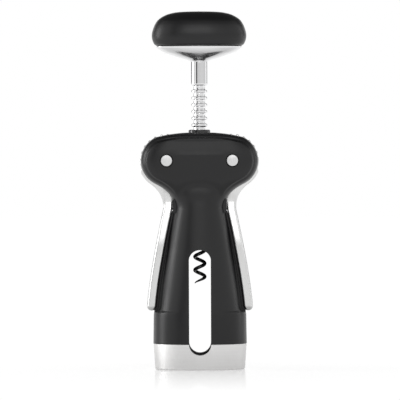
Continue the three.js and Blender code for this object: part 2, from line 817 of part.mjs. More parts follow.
function gripPieces() {
  const coarse = (inset) => gripSections(inset).filter((row, i) => i % 2 === 0 && row.b > 2);
  const hollow = coarse(gripWall);
  const insert = coarse(gripWall + closeFit);
  const open = { ...hollow[0], z: rimHeight - 1 };
  const bore = rodZ(6 + closeFit, rimHeight - 1, rimHeight + 7.5);
  return [
    piece("knob_grip", cut(upright(gripSections(0), ovalSides), upright([open, ...hollow], ovalSides)), softTouch),
    piece("grip_insert", cut(upright(insert, ovalSides), bore), hardPlastic),
  ];
}

// ---- Assembly ------------------------------------------------------------------------------------

const corkscrew = new THREE.Group();

const housing = new THREE.Group();
housing.add(...shells(), baseRing(), neckGuide(), rackGuide(), ...shellScrews(), ...baseScrews());
corkscrew.add(housing);

sides.forEach(({ name, side }) => {
  const pivot = new THREE.Group();
  pivot.position.set(side * pivotX, 0, pivotHeight);
  pivot.add(lever(name, side), ...pivotPin(name));
  corkscrew.add(pivot);
});

const screwAssembly = new THREE.Group();
screwAssembly.add(topCollar(), rack(), worm(), wormPin(), knobCore(), knobScrew(), ...gripPieces());
corkscrew.add(screwAssembly);

export default corkscrew;
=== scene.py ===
"""Winged corkscrew: the looks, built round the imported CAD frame.

Every piece is a surface worked out with numpy in the frame's own axes: +Z up, the front towards -Y.
Shapes are written in millimetres and turned into metres where a mesh is made.
"""

import json
import logging
import math
from dataclasses import dataclass
from enum import Enum
from typing import Callable, Sequence

import bpy
import numpy as np
from mathutils import Matrix, Vector


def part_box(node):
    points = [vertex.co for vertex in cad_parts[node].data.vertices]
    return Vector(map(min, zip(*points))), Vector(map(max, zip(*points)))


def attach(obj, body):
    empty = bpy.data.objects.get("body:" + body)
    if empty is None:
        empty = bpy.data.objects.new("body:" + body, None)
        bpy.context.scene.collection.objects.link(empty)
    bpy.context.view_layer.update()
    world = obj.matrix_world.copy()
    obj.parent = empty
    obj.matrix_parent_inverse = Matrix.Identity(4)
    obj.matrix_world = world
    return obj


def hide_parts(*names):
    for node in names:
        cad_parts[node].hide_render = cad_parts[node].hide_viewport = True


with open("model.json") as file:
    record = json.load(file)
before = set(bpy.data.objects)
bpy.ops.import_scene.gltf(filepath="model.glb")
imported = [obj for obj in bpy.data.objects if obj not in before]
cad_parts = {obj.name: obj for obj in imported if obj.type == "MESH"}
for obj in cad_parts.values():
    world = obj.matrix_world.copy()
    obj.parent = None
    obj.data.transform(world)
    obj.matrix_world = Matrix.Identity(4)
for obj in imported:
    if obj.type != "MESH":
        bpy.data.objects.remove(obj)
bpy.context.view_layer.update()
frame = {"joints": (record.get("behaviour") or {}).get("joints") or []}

LOG = logging.getLogger("corkscrew")
MM = 0.001
SMOOTH_ANGLE = math.radians(34)
FAR = 60.0  # mm, past any face that a cutter has to leave
ROD_SIDES = 64


class Side(Enum):
    """The two levers' sides, as seen from the front."""

    LEFT = -1
    RIGHT = 1

    @property
    def word(self) -> str:
        """The side's name, as the frame's nodes use it."""
        return self.name.lower()


class Half(Enum):
    """The body's two shells."""

    FRONT = -1
    REAR = 1

    @property
    def word(self) -> str:
        """The shell's name, as the frame's nodes use it."""
        return self.name.lower()


class Cut(Enum):
    """How a cutter acts on a solid."""

    AWAY = "DIFFERENCE"
    JOIN = "UNION"
    KEEP = "INTERSECT"


# ---- Places taken from the frame ---------------------------------------------------------------------


def low(node: str) -> np.ndarray:
    """The lowest corner of a CAD node, in millimetres."""
    return np.array(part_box(node)[0]) / MM


def high(node: str) -> np.ndarray:
    """The highest corner of a CAD node, in millimetres."""
    return np.array(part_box(node)[1]) / MM


def joint(name: str) -> dict:
    """The record's joint of that name."""
    return next(row for row in frame["joints"] if row["name"] == name)


@dataclass(frozen=True)
class Layout:
    """Heights and radii that several pieces share, read from the frame, in millimetres."""

    pivot_x: float = joint("right_lever_swing")["pos_m"][0] / MM
    pivot_z: float = joint("right_lever_swing")["pos_m"][2] / MM
    swing: float = joint("right_lever_swing")["range_deg"][1]
    travel: float = joint("rack_slide")["range_m"][1] / MM
    crown: float = float(high("front_shell")[2])
    ring_top: float = float(high("base_ring")[2])
    ring_half_width: float = float(high("base_ring")[0])
    ring_half_depth: float = float(high("base_ring")[1])
    collar_top: float = float(high("top_collar")[2])
    shoulder: float = float(low("knob_core")[2])
    rack_foot: float = float(low("rack")[2])
    grip_foot: float = float(low("knob_grip")[2])
    grip_top: float = float(high("knob_grip")[2])
    worm_tip: float = float(low("worm")[2])
    arm_tip: float = float(low("right_lever")[2])


PLAN = Layout()


# ---- Surfaces ----------------------------------------------------------------------------------------


def through(pairs: Sequence[tuple[float, float]], at: np.ndarray) -> np.ndarray:
    """A smooth value through pairs: on each stretch a cubic whose end slopes are its neighbours' mean.

    Args:
        pairs: (place, value) pairs in rising order of place.
        at: the places to read.

    Returns:
        The values, held constant past both ends.
    """
    place = np.array([pair[0] for pair in pairs], float)
    value = np.array([pair[1] for pair in pairs], float)
    slope = np.gradient(value, place)
    slope[1:-1] = (value[2:] - value[:-2]) / (place[2:] - place[:-2])
    at = np.clip(np.asarray(at, float), place[0], place[-1])
    i = np.clip(np.searchsorted(place, at, side="right") - 1, 0, len(place) - 2)
    span = place[i + 1] - place[i]
    t = (at - place[i]) / span
    s = 1 - t
    return (
        value[i] * (1 + 2 * t) * s * s
        + slope[i] * span * t * s * s
        + value[i + 1] * t * t * (3 - 2 * t)
        - slope[i + 1] * span * t * t * s
    )


def signed_power(value: np.ndarray, exponent: float | np.ndarray) -> np.ndarray:
    """The value's size raised to the exponent, with its sign kept."""
    return np.sign(value) * np.abs(value) ** exponent


def turn(count: int) -> np.ndarray:
    """Angles round a full turn, in radians, without the last one."""
    return np.linspace(0, 2 * np.pi, count, endpoint=False)


def arc(x: float, z: float, radius: float, start: float, stop: float, steps: int) -> np.ndarray:
    """Points on an arc.

    Args:
        x: the middle's place along X.
        z: the middle's height.
        radius: the arc's radius.
        start: the first angle, in degrees from +X towards +Z.
        stop: the last angle.
        steps: stretches between the points.

    Returns:
        Rows of (x, z).
    """
    angle = np.radians(np.linspace(start, stop, steps + 1))
    return np.stack([x + radius * np.cos(angle), z + radius * np.sin(angle)], 1)


def bezier(points: Sequence[Sequence[float]], steps: int) -> np.ndarray:
    """Points on a cubic Bezier curve: each corner weighted by its Bernstein polynomial of t.

    Args:
        points: the curve's four corners.
        steps: stretches between the points.

    Returns:
        Rows of (x, z).
    """
    t = np.linspace(0, 1, steps + 1)[:, None]
    p = np.array(points, float)
    s = 1 - t
    return s**3 * p[0] + 3 * s * s * t * p[1] + 3 * s * t * t * p[2] + t**3 * p[3]


def rounded(corners: Sequence[tuple[float, float, float]], steps: int = 5) -> np.ndarray:
    """A closed or open profile whose corners are rounded.

    Each corner (u, v, radius) becomes a quadratic curve: t squared weights from the point one radius
    before the corner, over the corner, to the point one radius after it.

    Args:
        corners: (u, v, radius) in order, with radius 0 for a sharp corner.
        steps: segments in each rounding.

    Returns:
        Rows of (u, v).
    """
    p = np.array([corner[:2] for corner in corners], float)
    out = [p[0]]
    for i in range(1, len(p) - 1):
        radius = corners[i][2]
        before, after = p[i - 1] - p[i], p[i + 1] - p[i]
        reach = [min(radius, np.linalg.norm(d) * 0.49) for d in (before, after)]
        if radius <= 0:
            out.append(p[i])
            continue
        start = p[i] + before / np.linalg.norm(before) * reach[0]
        stop = p[i] + after / np.linalg.norm(after) * reach[1]
        for t in np.linspace(0, 1, steps + 1):
            out.append((1 - t) ** 2 * start + 2 * t * (1 - t) * p[i] + t * t * stop)
    out.append(p[-1])
    return held(np.array(out))


def held(profile: np.ndarray, near: float = 0.12) -> np.ndarray:
    """The profile with a point close to each end of its long straight stretches, which keeps them flat.

    Args:
        profile: rows of (u, v), in millimetres.
        near: how far the added points are from the ends.

    Returns:
        The profile with its added rows.
    """
    span = np.linalg.norm(np.diff(profile, axis=0), axis=1)
    long = np.nonzero(span > 1.0)[0]
    way = (profile[long + 1] - profile[long]) / span[long, None] * near
    places = np.concatenate([long + 1, long + 1])
    added = np.concatenate([profile[long] + way, profile[long + 1] - way])
    return np.insert(profile, places, added, axis=0)


def placed(name: str, data: bpy.types.ID) -> bpy.types.Object:
    """A new object at the origin that holds the data, linked to the scene."""
    made = bpy.data.objects.new(name, data)
    bpy.context.scene.collection.objects.link(made)
    return made


def mesh_object(name: str, points: np.ndarray, faces: list) -> bpy.types.Object:
    """A new mesh object at the origin.

    Args:
        name: the object's name.
        points: rows of (x, y, z), in millimetres.
        faces: lists of point numbers, anticlockwise from outside.

    Returns:
        The object, flat shaded.
    """
    mesh = bpy.data.meshes.new(name)
    mesh.from_pydata((points * MM).tolist(), [], faces)
    mesh.validate()
    return placed(name, mesh)


def skin(name: str, rows: np.ndarray) -> bpy.types.Object:
    """A closed skin over rows of points, with a flat face over each end.

    Args:
        name: the object's name.
        rows: an array (rows, columns, 3) whose columns run anticlockwise seen against the rows' direction.

    Returns:
        The object, with its faces pointing outwards.
    """
    count, around = rows.shape[:2]
    first = np.arange(count - 1)[:, None] * around + np.arange(around)[None, :]
    nxt = np.arange(count - 1)[:, None] * around + (np.arange(around)[None, :] + 1) % around
    quads = np.stack([first, nxt, nxt + around, first + around], -1).reshape(-1, 4).tolist()
    quads.append(list(range(around))[::-1])
    quads.append(list(range((count - 1) * around, count * around)))
    return mesh_object(name, rows.reshape(-1, 3), quads)


def revolve(name: str, profile: np.ndarray, sides: int = 96, x: float = 0, y: float = 0) -> bpy.types.Object:
    """A turned solid about an upright axis: each (radius, height) of the profile is carried round a circle.

    A profile that closes on itself makes a ring. Any other starts and ends at a small radius, and is
    closed by a flat face there.

    Args:
        name: the object's name.
        profile: rows of (radius, height), running so that the solid is on the left: up the outside.
        sides: points round the circle.
        x: the axis's place along X.
        y: the axis's place along Y.

    Returns:
        The turned object.
    """
    angle = turn(sides)
    radius = np.maximum(profile[:, 0], 1e-3)[:, None]
    height = np.repeat(profile[:, 1][:, None], sides, 1)
    rows = np.stack([x + radius * np.cos(angle), y + radius * np.sin(angle), height], -1)
    if not np.allclose(profile[0], profile[-1]):
        return skin(name, rows)
    rows = rows[:-1]
    count = len(rows)
    first = np.arange(count)[:, None] * sides + np.arange(sides)[None, :]
    after = (np.arange(count)[:, None] + 1) % count * sides
    step = np.arange(sides)[None, :]
    quads = np.stack([first, first - step + (step + 1) % sides, after + (step + 1) % sides, after + step], -1)
    return mesh_object(name, rows.reshape(-1, 3), quads.reshape(-1, 4).tolist())


def post(
    name: str,
    radius: float,
    foot: float,
    top: float,
    eases: tuple[float, float] = (0, 0),
    sides: int = 96,
    spot: tuple[float, float] = (0, 0),
) -> bpy.types.Object:
    """An upright round solid.

    Args:
        name: the object's name.
        radius: its radius.
        foot: its lower face's height.
        top: its upper face's height.
        eases: how far the lower and the upper rim are rounded.
        sides: points round the circle.
        spot: the axis's place in X and Y.

    Returns:
        The solid.
    """
    corners = [(0, foot, 0), (radius, foot, eases[0]), (radius, top, eases[1]), (0, top, 0)]
    return revolve(name, rounded(corners), sides, *spot)


def prism(name: str, outline: np.ndarray, near: float, far: float) -> bpy.types.Object:
    """An outline made solid along Y.

    Args:
        name: the object's name.
        outline: rows of (x, z), anticlockwise from the front.
        near: the front face's place along Y.
        far: the rear face's place along Y.

    Returns:
        The solid.
    """
    rows = np.stack([np.insert(outline, 1, y, axis=1) for y in (far, near)])
    return skin(name, rows)


def sided(outline: np.ndarray, side: Side) -> np.ndarray:
    """An outline drawn for the right side, or its mirror image, still anticlockwise, for the left."""
    return (outline * [-1, 1])[::-1] if side is Side.LEFT else outline


def eased_prism(name: str, outline: np.ndarray, half: float, edge: float) -> bpy.types.Object:
    """A prism from -half to half along Y whose rims are eased: each rim row is the outline moved inwards.

    The inward move at a rim is edge times (1 - cos t), while Y runs out by edge times sin t, for t from 0
    to a quarter turn. Inwards is along the outline's own normal, from its neighbours' difference.

    Args:
        name: the object's name.
        outline: rows of (x, z), anticlockwise from the front.
        half: half the width along Y.
        edge: the easing's radius.

    Returns:
        The solid.
    """
    ahead, behind = np.roll(outline, -1, 0), np.roll(outline, 1, 0)
    along = ahead - behind
    inward = np.stack([-along[:, 1], along[:, 0]], 1)
    inward /= np.maximum(np.linalg.norm(inward, axis=1), 1e-9)[:, None]
    angles = np.radians([90, 60, 30, 0])
    shrink = edge * (1 - np.cos(angles))
    reach = half - edge + edge * np.sin(angles)
    rim = [np.insert(outline + inward * s, 1, y, axis=1) for s, y in zip(shrink, reach)]
    rest = [np.insert(outline + inward * s, 1, -y, axis=1) for s, y in zip(shrink[::-1], reach[::-1])]
    return skin(name, np.stack(rim + rest))


def rod_y(
    name: str, radius: float, near: float, far: float, x: float, z: float, ease: float = 0
) -> bpy.types.Object:
    """A round rod along Y.

    Args:
        name: the object's name.
        radius: its radius.
        near: the front face's place along Y.
        far: the rear face's place along Y.
        x: the axis's place along X.
        z: the axis's height.
        ease: the radius of the quarter circle that eases both rims, or 0.

    Returns:
        The rod.
    """
    places, sizes = np.array([far, near]), np.array([radius, radius])
    if ease:
        t = np.radians([90, 60, 30, 0])
        sizes = radius - ease * (1 - np.cos(t))
        inset = ease * (1 - np.sin(t))
        places = np.concatenate([far - inset, (near + inset)[::-1]])
        sizes = np.concatenate([sizes, sizes[::-1]])
    angle = turn(ROD_SIDES)
    across = x + sizes[:, None] * np.cos(angle)
    up = z + sizes[:, None] * np.sin(angle)
    return skin(name, np.stack([across, np.repeat(places[:, None], ROD_SIDES, 1), up], -1))


def tube(name: str, line: np.ndarray, radius: np.ndarray, sides: int) -> bpy.types.Object:
    """A round wire along a line: a circle in the plane across it, carried along without twist.

    The cross axes start square to the line, and at each step lose only what leans along the line.

    Args:
        name: the object's name.
        line: rows of (x, y, z).
        radius: the wire's radius at each row.
        sides: points round the wire.

    Returns:
        The wire as an object.
    """
    along = np.gradient(line, axis=0)
    along /= np.linalg.norm(along, axis=1)[:, None]
    across = np.empty_like(line)
    start = np.cross(along[0], [0.3, 0.5, 0.8])
    across[0] = start / np.linalg.norm(start)
    for i in range(1, len(line)):
        lean = across[i - 1] - np.dot(across[i - 1], along[i]) * along[i]
        across[i] = lean / np.linalg.norm(lean)
    other = np.cross(along, across)
    angle = turn(sides)
    ring = across[:, None] * np.cos(angle)[None, :, None] + other[:, None] * np.sin(angle)[None, :, None]
    return skin(name, line[:, None] + radius[:, None, None] * ring)


def oval_rows(z: np.ndarray, a: np.ndarray, b: np.ndarray, n: np.ndarray, around: int) -> np.ndarray:
    """Rows of superellipses: x = a cos^(2/n), y = b sin^(2/n) at each height, with the signs kept.

    Args:
        z: each row's height.
        a: each row's half width.
        b: each row's half depth.
        n: each row's power, or one for all.
        around: points in a row.

    Returns:
        An array (rows, around, 3).
    """
    angle = turn(around)
    power = 2 / np.broadcast_to(np.asarray(n, float), z.shape)[:, None]
    x = a[:, None] * signed_power(np.cos(angle)[None, :], power)
    y = b[:, None] * signed_power(np.sin(angle)[None, :], power)
    return np.stack([x, y, np.repeat(z[:, None], around, 1)], -1)


def combine(
    target: bpy.types.Object, cutters: Sequence[bpy.types.Object], how: Cut = Cut.AWAY
) -> bpy.types.Object:
    """Joins or cuts a closed object with others, and makes the result its own mesh.

    Args:
        target: the closed object that is changed.
        cutters: closed objects, which are used up.
        how: whether they are taken away, joined on, or what is kept.

    Returns:
        The target.
    """
    for cutter in cutters:
        step = target.modifiers.new("combine", "BOOLEAN")
        step.operation = how.value
        step.solver = "MANIFOLD"
        step.object = cutter
    graph = bpy.context.evaluated_depsgraph_get()
    graph.update()
    made = bpy.data.meshes.new_from_object(target.evaluated_get(graph))
    target.modifiers.clear()
    old = target.data
    target.data = made
    bpy.data.meshes.remove(old)
    for cutter in cutters:
        bpy.data.meshes.remove(cutter.data)
    return target


# ---- Shader groups and finishes ------------------------------------------------------------------------


@dataclass
class Wiring:
    """A node tree with short ways to add nodes and links."""

    tree: bpy.types.NodeTree

    def put(self, target: bpy.types.NodeSocket, value: object) -> None:
        """Links an input to another node's output, or sets it to a constant."""
        if isinstance(value, bpy.types.NodeSocket):
            self.tree.links.new(value, target)
        else:
            target.default_value = value

    def add(self, kind: str, inputs: dict | None = None, **settings: object) -> bpy.types.Node:
        """A new node.

        Args:
            kind: the node's type.
            inputs: constants or outputs to feed its inputs, by name or number.
            settings: its properties.

        Returns:
            The node.
        """
        node = self.tree.nodes.new(kind)
        for key, value in settings.items():
            setattr(node, key, value)
        for key, value in (inputs or {}).items():
            self.put(node.inputs[key], value)
        return node

    def math(self, operation: str, left: object, right: object) -> bpy.types.NodeSocket:
        """The result of a math node on two outputs or numbers."""
        return self.add("ShaderNodeMath", {0: left, 1: right}, operation=operation).outputs[0]

    def ramp(
        self, value: bpy.types.NodeSocket, start: float, stop: float, to: tuple = (0.0, 1.0)
    ) -> bpy.types.NodeSocket:
        """A value mapped from start..stop to a pair of limits, clamped."""
        limits = {"From Min": start, "From Max": stop, "To Min": to[0], "To Max": to[1]}
        return self.add("ShaderNodeMapRange", {"Value": value, **limits}, clamp=True).outputs["Result"]

    def mix(self, share: bpy.types.NodeSocket, first: object, second: object) -> bpy.types.NodeSocket:
        """A colour between two outputs or constant colours."""
        return self.add("ShaderNodeMix", {0: share, 6: first, 7: second}, data_type="RGBA").outputs[2]

    def group(self, tree: bpy.types.NodeTree, **inputs: object) -> bpy.types.NodeOutputs:
        """The outputs of a shared group, with its inputs fed by name."""
        return self.add("ShaderNodeGroup", inputs, node_tree=tree).outputs


@dataclass(frozen=True)
class Effect:
    """A shader group that several finishes use, with named sockets."""

    name: str
    inputs: tuple
    outputs: tuple

    def tree(self, fill: Callable[[Wiring, bpy.types.Node, bpy.types.Node], None]) -> bpy.types.NodeTree:
        """The group's tree, made once: its sockets from the fields, and its nodes by fill."""
        found = bpy.data.node_groups.get(self.name)
        if found:
            return found
        made = bpy.data.node_groups.new(self.name, "ShaderNodeTree")
        for name, kind, value in self.inputs:
            socket = made.interface.new_socket(name, in_out="INPUT", socket_type=kind)
            if kind == "NodeSocketFloat":
                socket.default_value = value
        for name in self.outputs:
            made.interface.new_socket(name, in_out="OUTPUT", socket_type="NodeSocketFloat")
        wiring = Wiring(made)
        fill(wiring, wiring.add("NodeGroupInput"), wiring.add("NodeGroupOutput"))
        return made


def fine_grain() -> bpy.types.NodeTree:
    """Moulded grain: a fine noise for the height, and a coarser one that makes its depth uneven."""
    effect = Effect(
        "fine_grain",
        (("Vector", "NodeSocketVector", None), ("Scale", "NodeSocketFloat", 3000.0)),
        ("Height", "Cloud"),
    )

    def fill(w: Wiring, given: bpy.types.Node, out: bpy.types.Node) -> None:
        """Feeds the fine noise, made shallower where the cloud is dark, and the cloud itself."""
        place, scale = given.outputs["Vector"], given.outputs["Scale"]
        fine = w.add("ShaderNodeTexNoise", {"Vector": place, "Scale": scale, "Detail": 2.0})
        cloud = w.add("ShaderNodeTexNoise", {"Vector": place, "Scale": 55.0, "Detail": 4.0})
        depth = w.ramp(cloud.outputs[0], 0.3, 0.7, (0.6, 1.0))
        w.put(out.inputs["Height"], w.math("MULTIPLY", fine.outputs[0], depth))
        w.put(out.inputs["Cloud"], cloud.outputs[0])

    return effect.tree(fill)


def brush_lines() -> bpy.types.NodeTree:
    """Brushed or polished streaks: noise squeezed across the stroke."""
    effect = Effect(
        "brush_lines",
        (("Vector", "NodeSocketVector", None), ("Across", "NodeSocketVector", None)),
        ("Streak",),
    )

    def fill(w: Wiring, given: bpy.types.Node, out: bpy.types.Node) -> None:
        """Feeds a noise read at the place times the streaks per metre."""
        both = {0: given.outputs["Vector"], 1: given.outputs["Across"]}
        squeezed = w.add("ShaderNodeVectorMath", both, operation="MULTIPLY")
        streak = w.add("ShaderNodeTexNoise", {"Vector": squeezed.outputs[0], "Scale": 1.0, "Detail": 3.0})
        w.put(out.inputs["Streak"], streak.outputs[0])

    return effect.tree(fill)


def handling() -> bpy.types.NodeTree:
    """Marks of handling: soft patches where a surface is a little duller, and specks of dust."""
    effect = Effect(
        "handling",
        (("Vector", "NodeSocketVector", None), ("Scale", "NodeSocketFloat", 40.0)),
        ("Smudge", "Dust"),
    )

    def fill(w: Wiring, given: bpy.types.Node, out: bpy.types.Node) -> None:
        """Feeds a soft noise for the smudges, and small cells' middles for the dust."""
        place, scale = given.outputs["Vector"], given.outputs["Scale"]
        patch = w.add(
            "ShaderNodeTexNoise", {"Vector": place, "Scale": scale, "Detail": 5.0, "Distortion": 0.6}
        )
        speck = w.add("ShaderNodeTexVoronoi", {"Vector": place, "Scale": 420.0})
        w.put(out.inputs["Smudge"], w.ramp(patch.outputs[0], 0.35, 0.7))
        w.put(out.inputs["Dust"], w.ramp(speck.outputs["Distance"], 0.035, 0.06, (1.0, 0.0)))

    return effect.tree(fill)


DUST_COLOR = (0.35, 0.34, 0.33, 1)


@dataclass(frozen=True)
class Finish:
    """A surface's look: its colour and gloss, and how its grain, streaks and handling change them."""

    name: str
    slot: str
    color: tuple[float, float, float]
    roughness: float
    metallic: float = 0.0
    specular: float = 0.5
    coat: float = 0.0
    coat_roughness: float = 0.1
    grain_scale: float = 0.0  # per metre, 0 for none
    grain_height: float = 0.0  # metres
    strokes: tuple[float, float, float] = (0.0, 0.0, 0.0)  # streaks per metre along each axis
    stroke_height: float = 0.0
    rough_spread: float = 0.08
    tint_spread: float = 0.12
    dust: float = 0.0

    def material(self) -> bpy.types.Material:
        """The finish as a material, made once."""
        found = bpy.data.materials.get(self.name)
        if found:
            return found
        made = bpy.data.materials.new(self.name)
        made.use_nodes = True
        w = Wiring(made.node_tree)
        place = w.add("ShaderNodeTexCoord").outputs["Object"]
        touched = w.group(handling(), Vector=place)
        worn = w.math("MULTIPLY", touched["Smudge"], self.rough_spread)
        rough = w.math("ADD", worn, self.roughness - self.rough_spread / 2)
        tint = touched["Smudge"]
        heights = []
        if self.grain_scale:
            grain = w.group(fine_grain(), Vector=place, Scale=self.grain_scale)
            heights.append((grain["Height"], self.grain_height))
            tint = grain["Cloud"]
        if any(self.strokes):
            tint = w.group(brush_lines(), Vector=place, Across=self.strokes)["Streak"]
            heights.append((tint, self.stroke_height))
            rough = w.math("ADD", rough, w.math("MULTIPLY", tint, self.rough_spread))
        dark = [c * (1 - self.tint_spread) for c in self.color]
        light = [min(1.0, c * (1 + self.tint_spread)) for c in self.color]
        color = w.mix(w.ramp(tint, 0.25, 0.75), (*dark, 1), (*light, 1))
        if self.dust:
            color = w.mix(w.math("MULTIPLY", touched["Dust"], self.dust), color, DUST_COLOR)
        inputs = {
            "Base Color": color,
            "Roughness": rough,
            "Metallic": self.metallic,
            "Specular IOR Level": self.specular,
            "Coat Weight": self.coat,
            "Coat Roughness": self.coat_roughness,
        }
        for height, size in heights:
            bump = {"Height": height, "Distance": size, "Strength": 1.0}
            if "Normal" in inputs:
                bump["Normal"] = inputs["Normal"]
            inputs["Normal"] = w.add("ShaderNodeBump", bump).outputs["Normal"]
        shader = made.node_tree.nodes["Principled BSDF"]
        for key, value in inputs.items():
            w.put(shader.inputs[key], value)
        return made

    def dress(self, piece: bpy.types.Object, body: str, node: str) -> None:
        """Smooths and dresses a piece, and ties it to the frame.

        Args:
            piece: the finished piece.
            body: the moving body that it rides on.
            node: the CAD node that it stands for.
        """
        mesh = piece.data
        mesh.shade_smooth()
        mesh.set_sharp_from_angle(angle=SMOOTH_ANGLE)
        mesh.materials.clear()
        mesh.materials.append(self.material())
        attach(piece, body)
        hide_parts(node)
        LOG.info("%s: %d faces, on %s", piece.name, len(mesh.polygons), body)


SOFT_TOUCH = Finish(
    "soft_touch_skin",
    "soft_touch_black",
    (0.0068, 0.0068, 0.0075),
    0.37,
    specular=0.4,
    grain_scale=5200.0,
    grain_height=0.000003,
    rough_spread=0.06,
    tint_spread=0.1,
    dust=0.05,
)
HARD_BLACK = Finish(
    "moulded_black", "hard_black", (0.012, 0.012, 0.013), 0.42, grain_scale=3600.0, grain_height=0.00002
)
GLOSS_BLACK = Finish(
    "gloss_moulding", "gloss_black", (0.006, 0.006, 0.0065), 0.16, coat=0.6, rough_spread=0.04
)
SATIN_STEEL = Finish(
    "satin_casting",
    "satin_steel",
    (0.72, 0.72, 0.715),
    0.25,
    metallic=1.0,
    strokes=(2600.0, 2600.0, 60.0),
    stroke_height=0.000004,
    rough_spread=0.07,
    tint_spread=0.03,
)
RING_STEEL = Finish(
    "ring_steel",
    "satin_steel",
    (0.86, 0.855, 0.85),
    0.52,
    metallic=1.0,
    strokes=(40.0, 40.0, 5200.0),
    stroke_height=0.000004,
    rough_spread=0.07,
    tint_spread=0.03,
)
PIN_STEEL = Finish(
    "pin_steel",
    "satin_steel",
    (0.7, 0.7, 0.7),
    0.33,
    metallic=1.0,
    strokes=(2500.0, 60.0, 300.0),
    stroke_height=0.000003,
    tint_spread=0.04,
)
CHROME = Finish(
    "polished_chrome",
    "polished_steel",
    (0.82, 0.82, 0.825),
    0.07,
    metallic=1.0,
    strokes=(30.0, 30.0, 900.0),
    stroke_height=0.000001,
    rough_spread=0.04,
    tint_spread=0.015,
)
FLARE_STEEL = Finish(
    "flare_steel",
    "polished_steel",
    (0.8, 0.8, 0.805),
    0.19,
    metallic=1.0,
    strokes=(60.0, 60.0, 1200.0),
    stroke_height=0.000002,
    rough_spread=0.05,
    tint_spread=0.015,
)
COATED = Finish(
    "black_coating",
    "coated_steel",
    (0.014, 0.014, 0.0145),
    0.28,
    coat=0.25,
    grain_scale=4200.0,
    grain_height=0.00001,
)


# ---- Body ----------------------------------------------------------------------------------------------


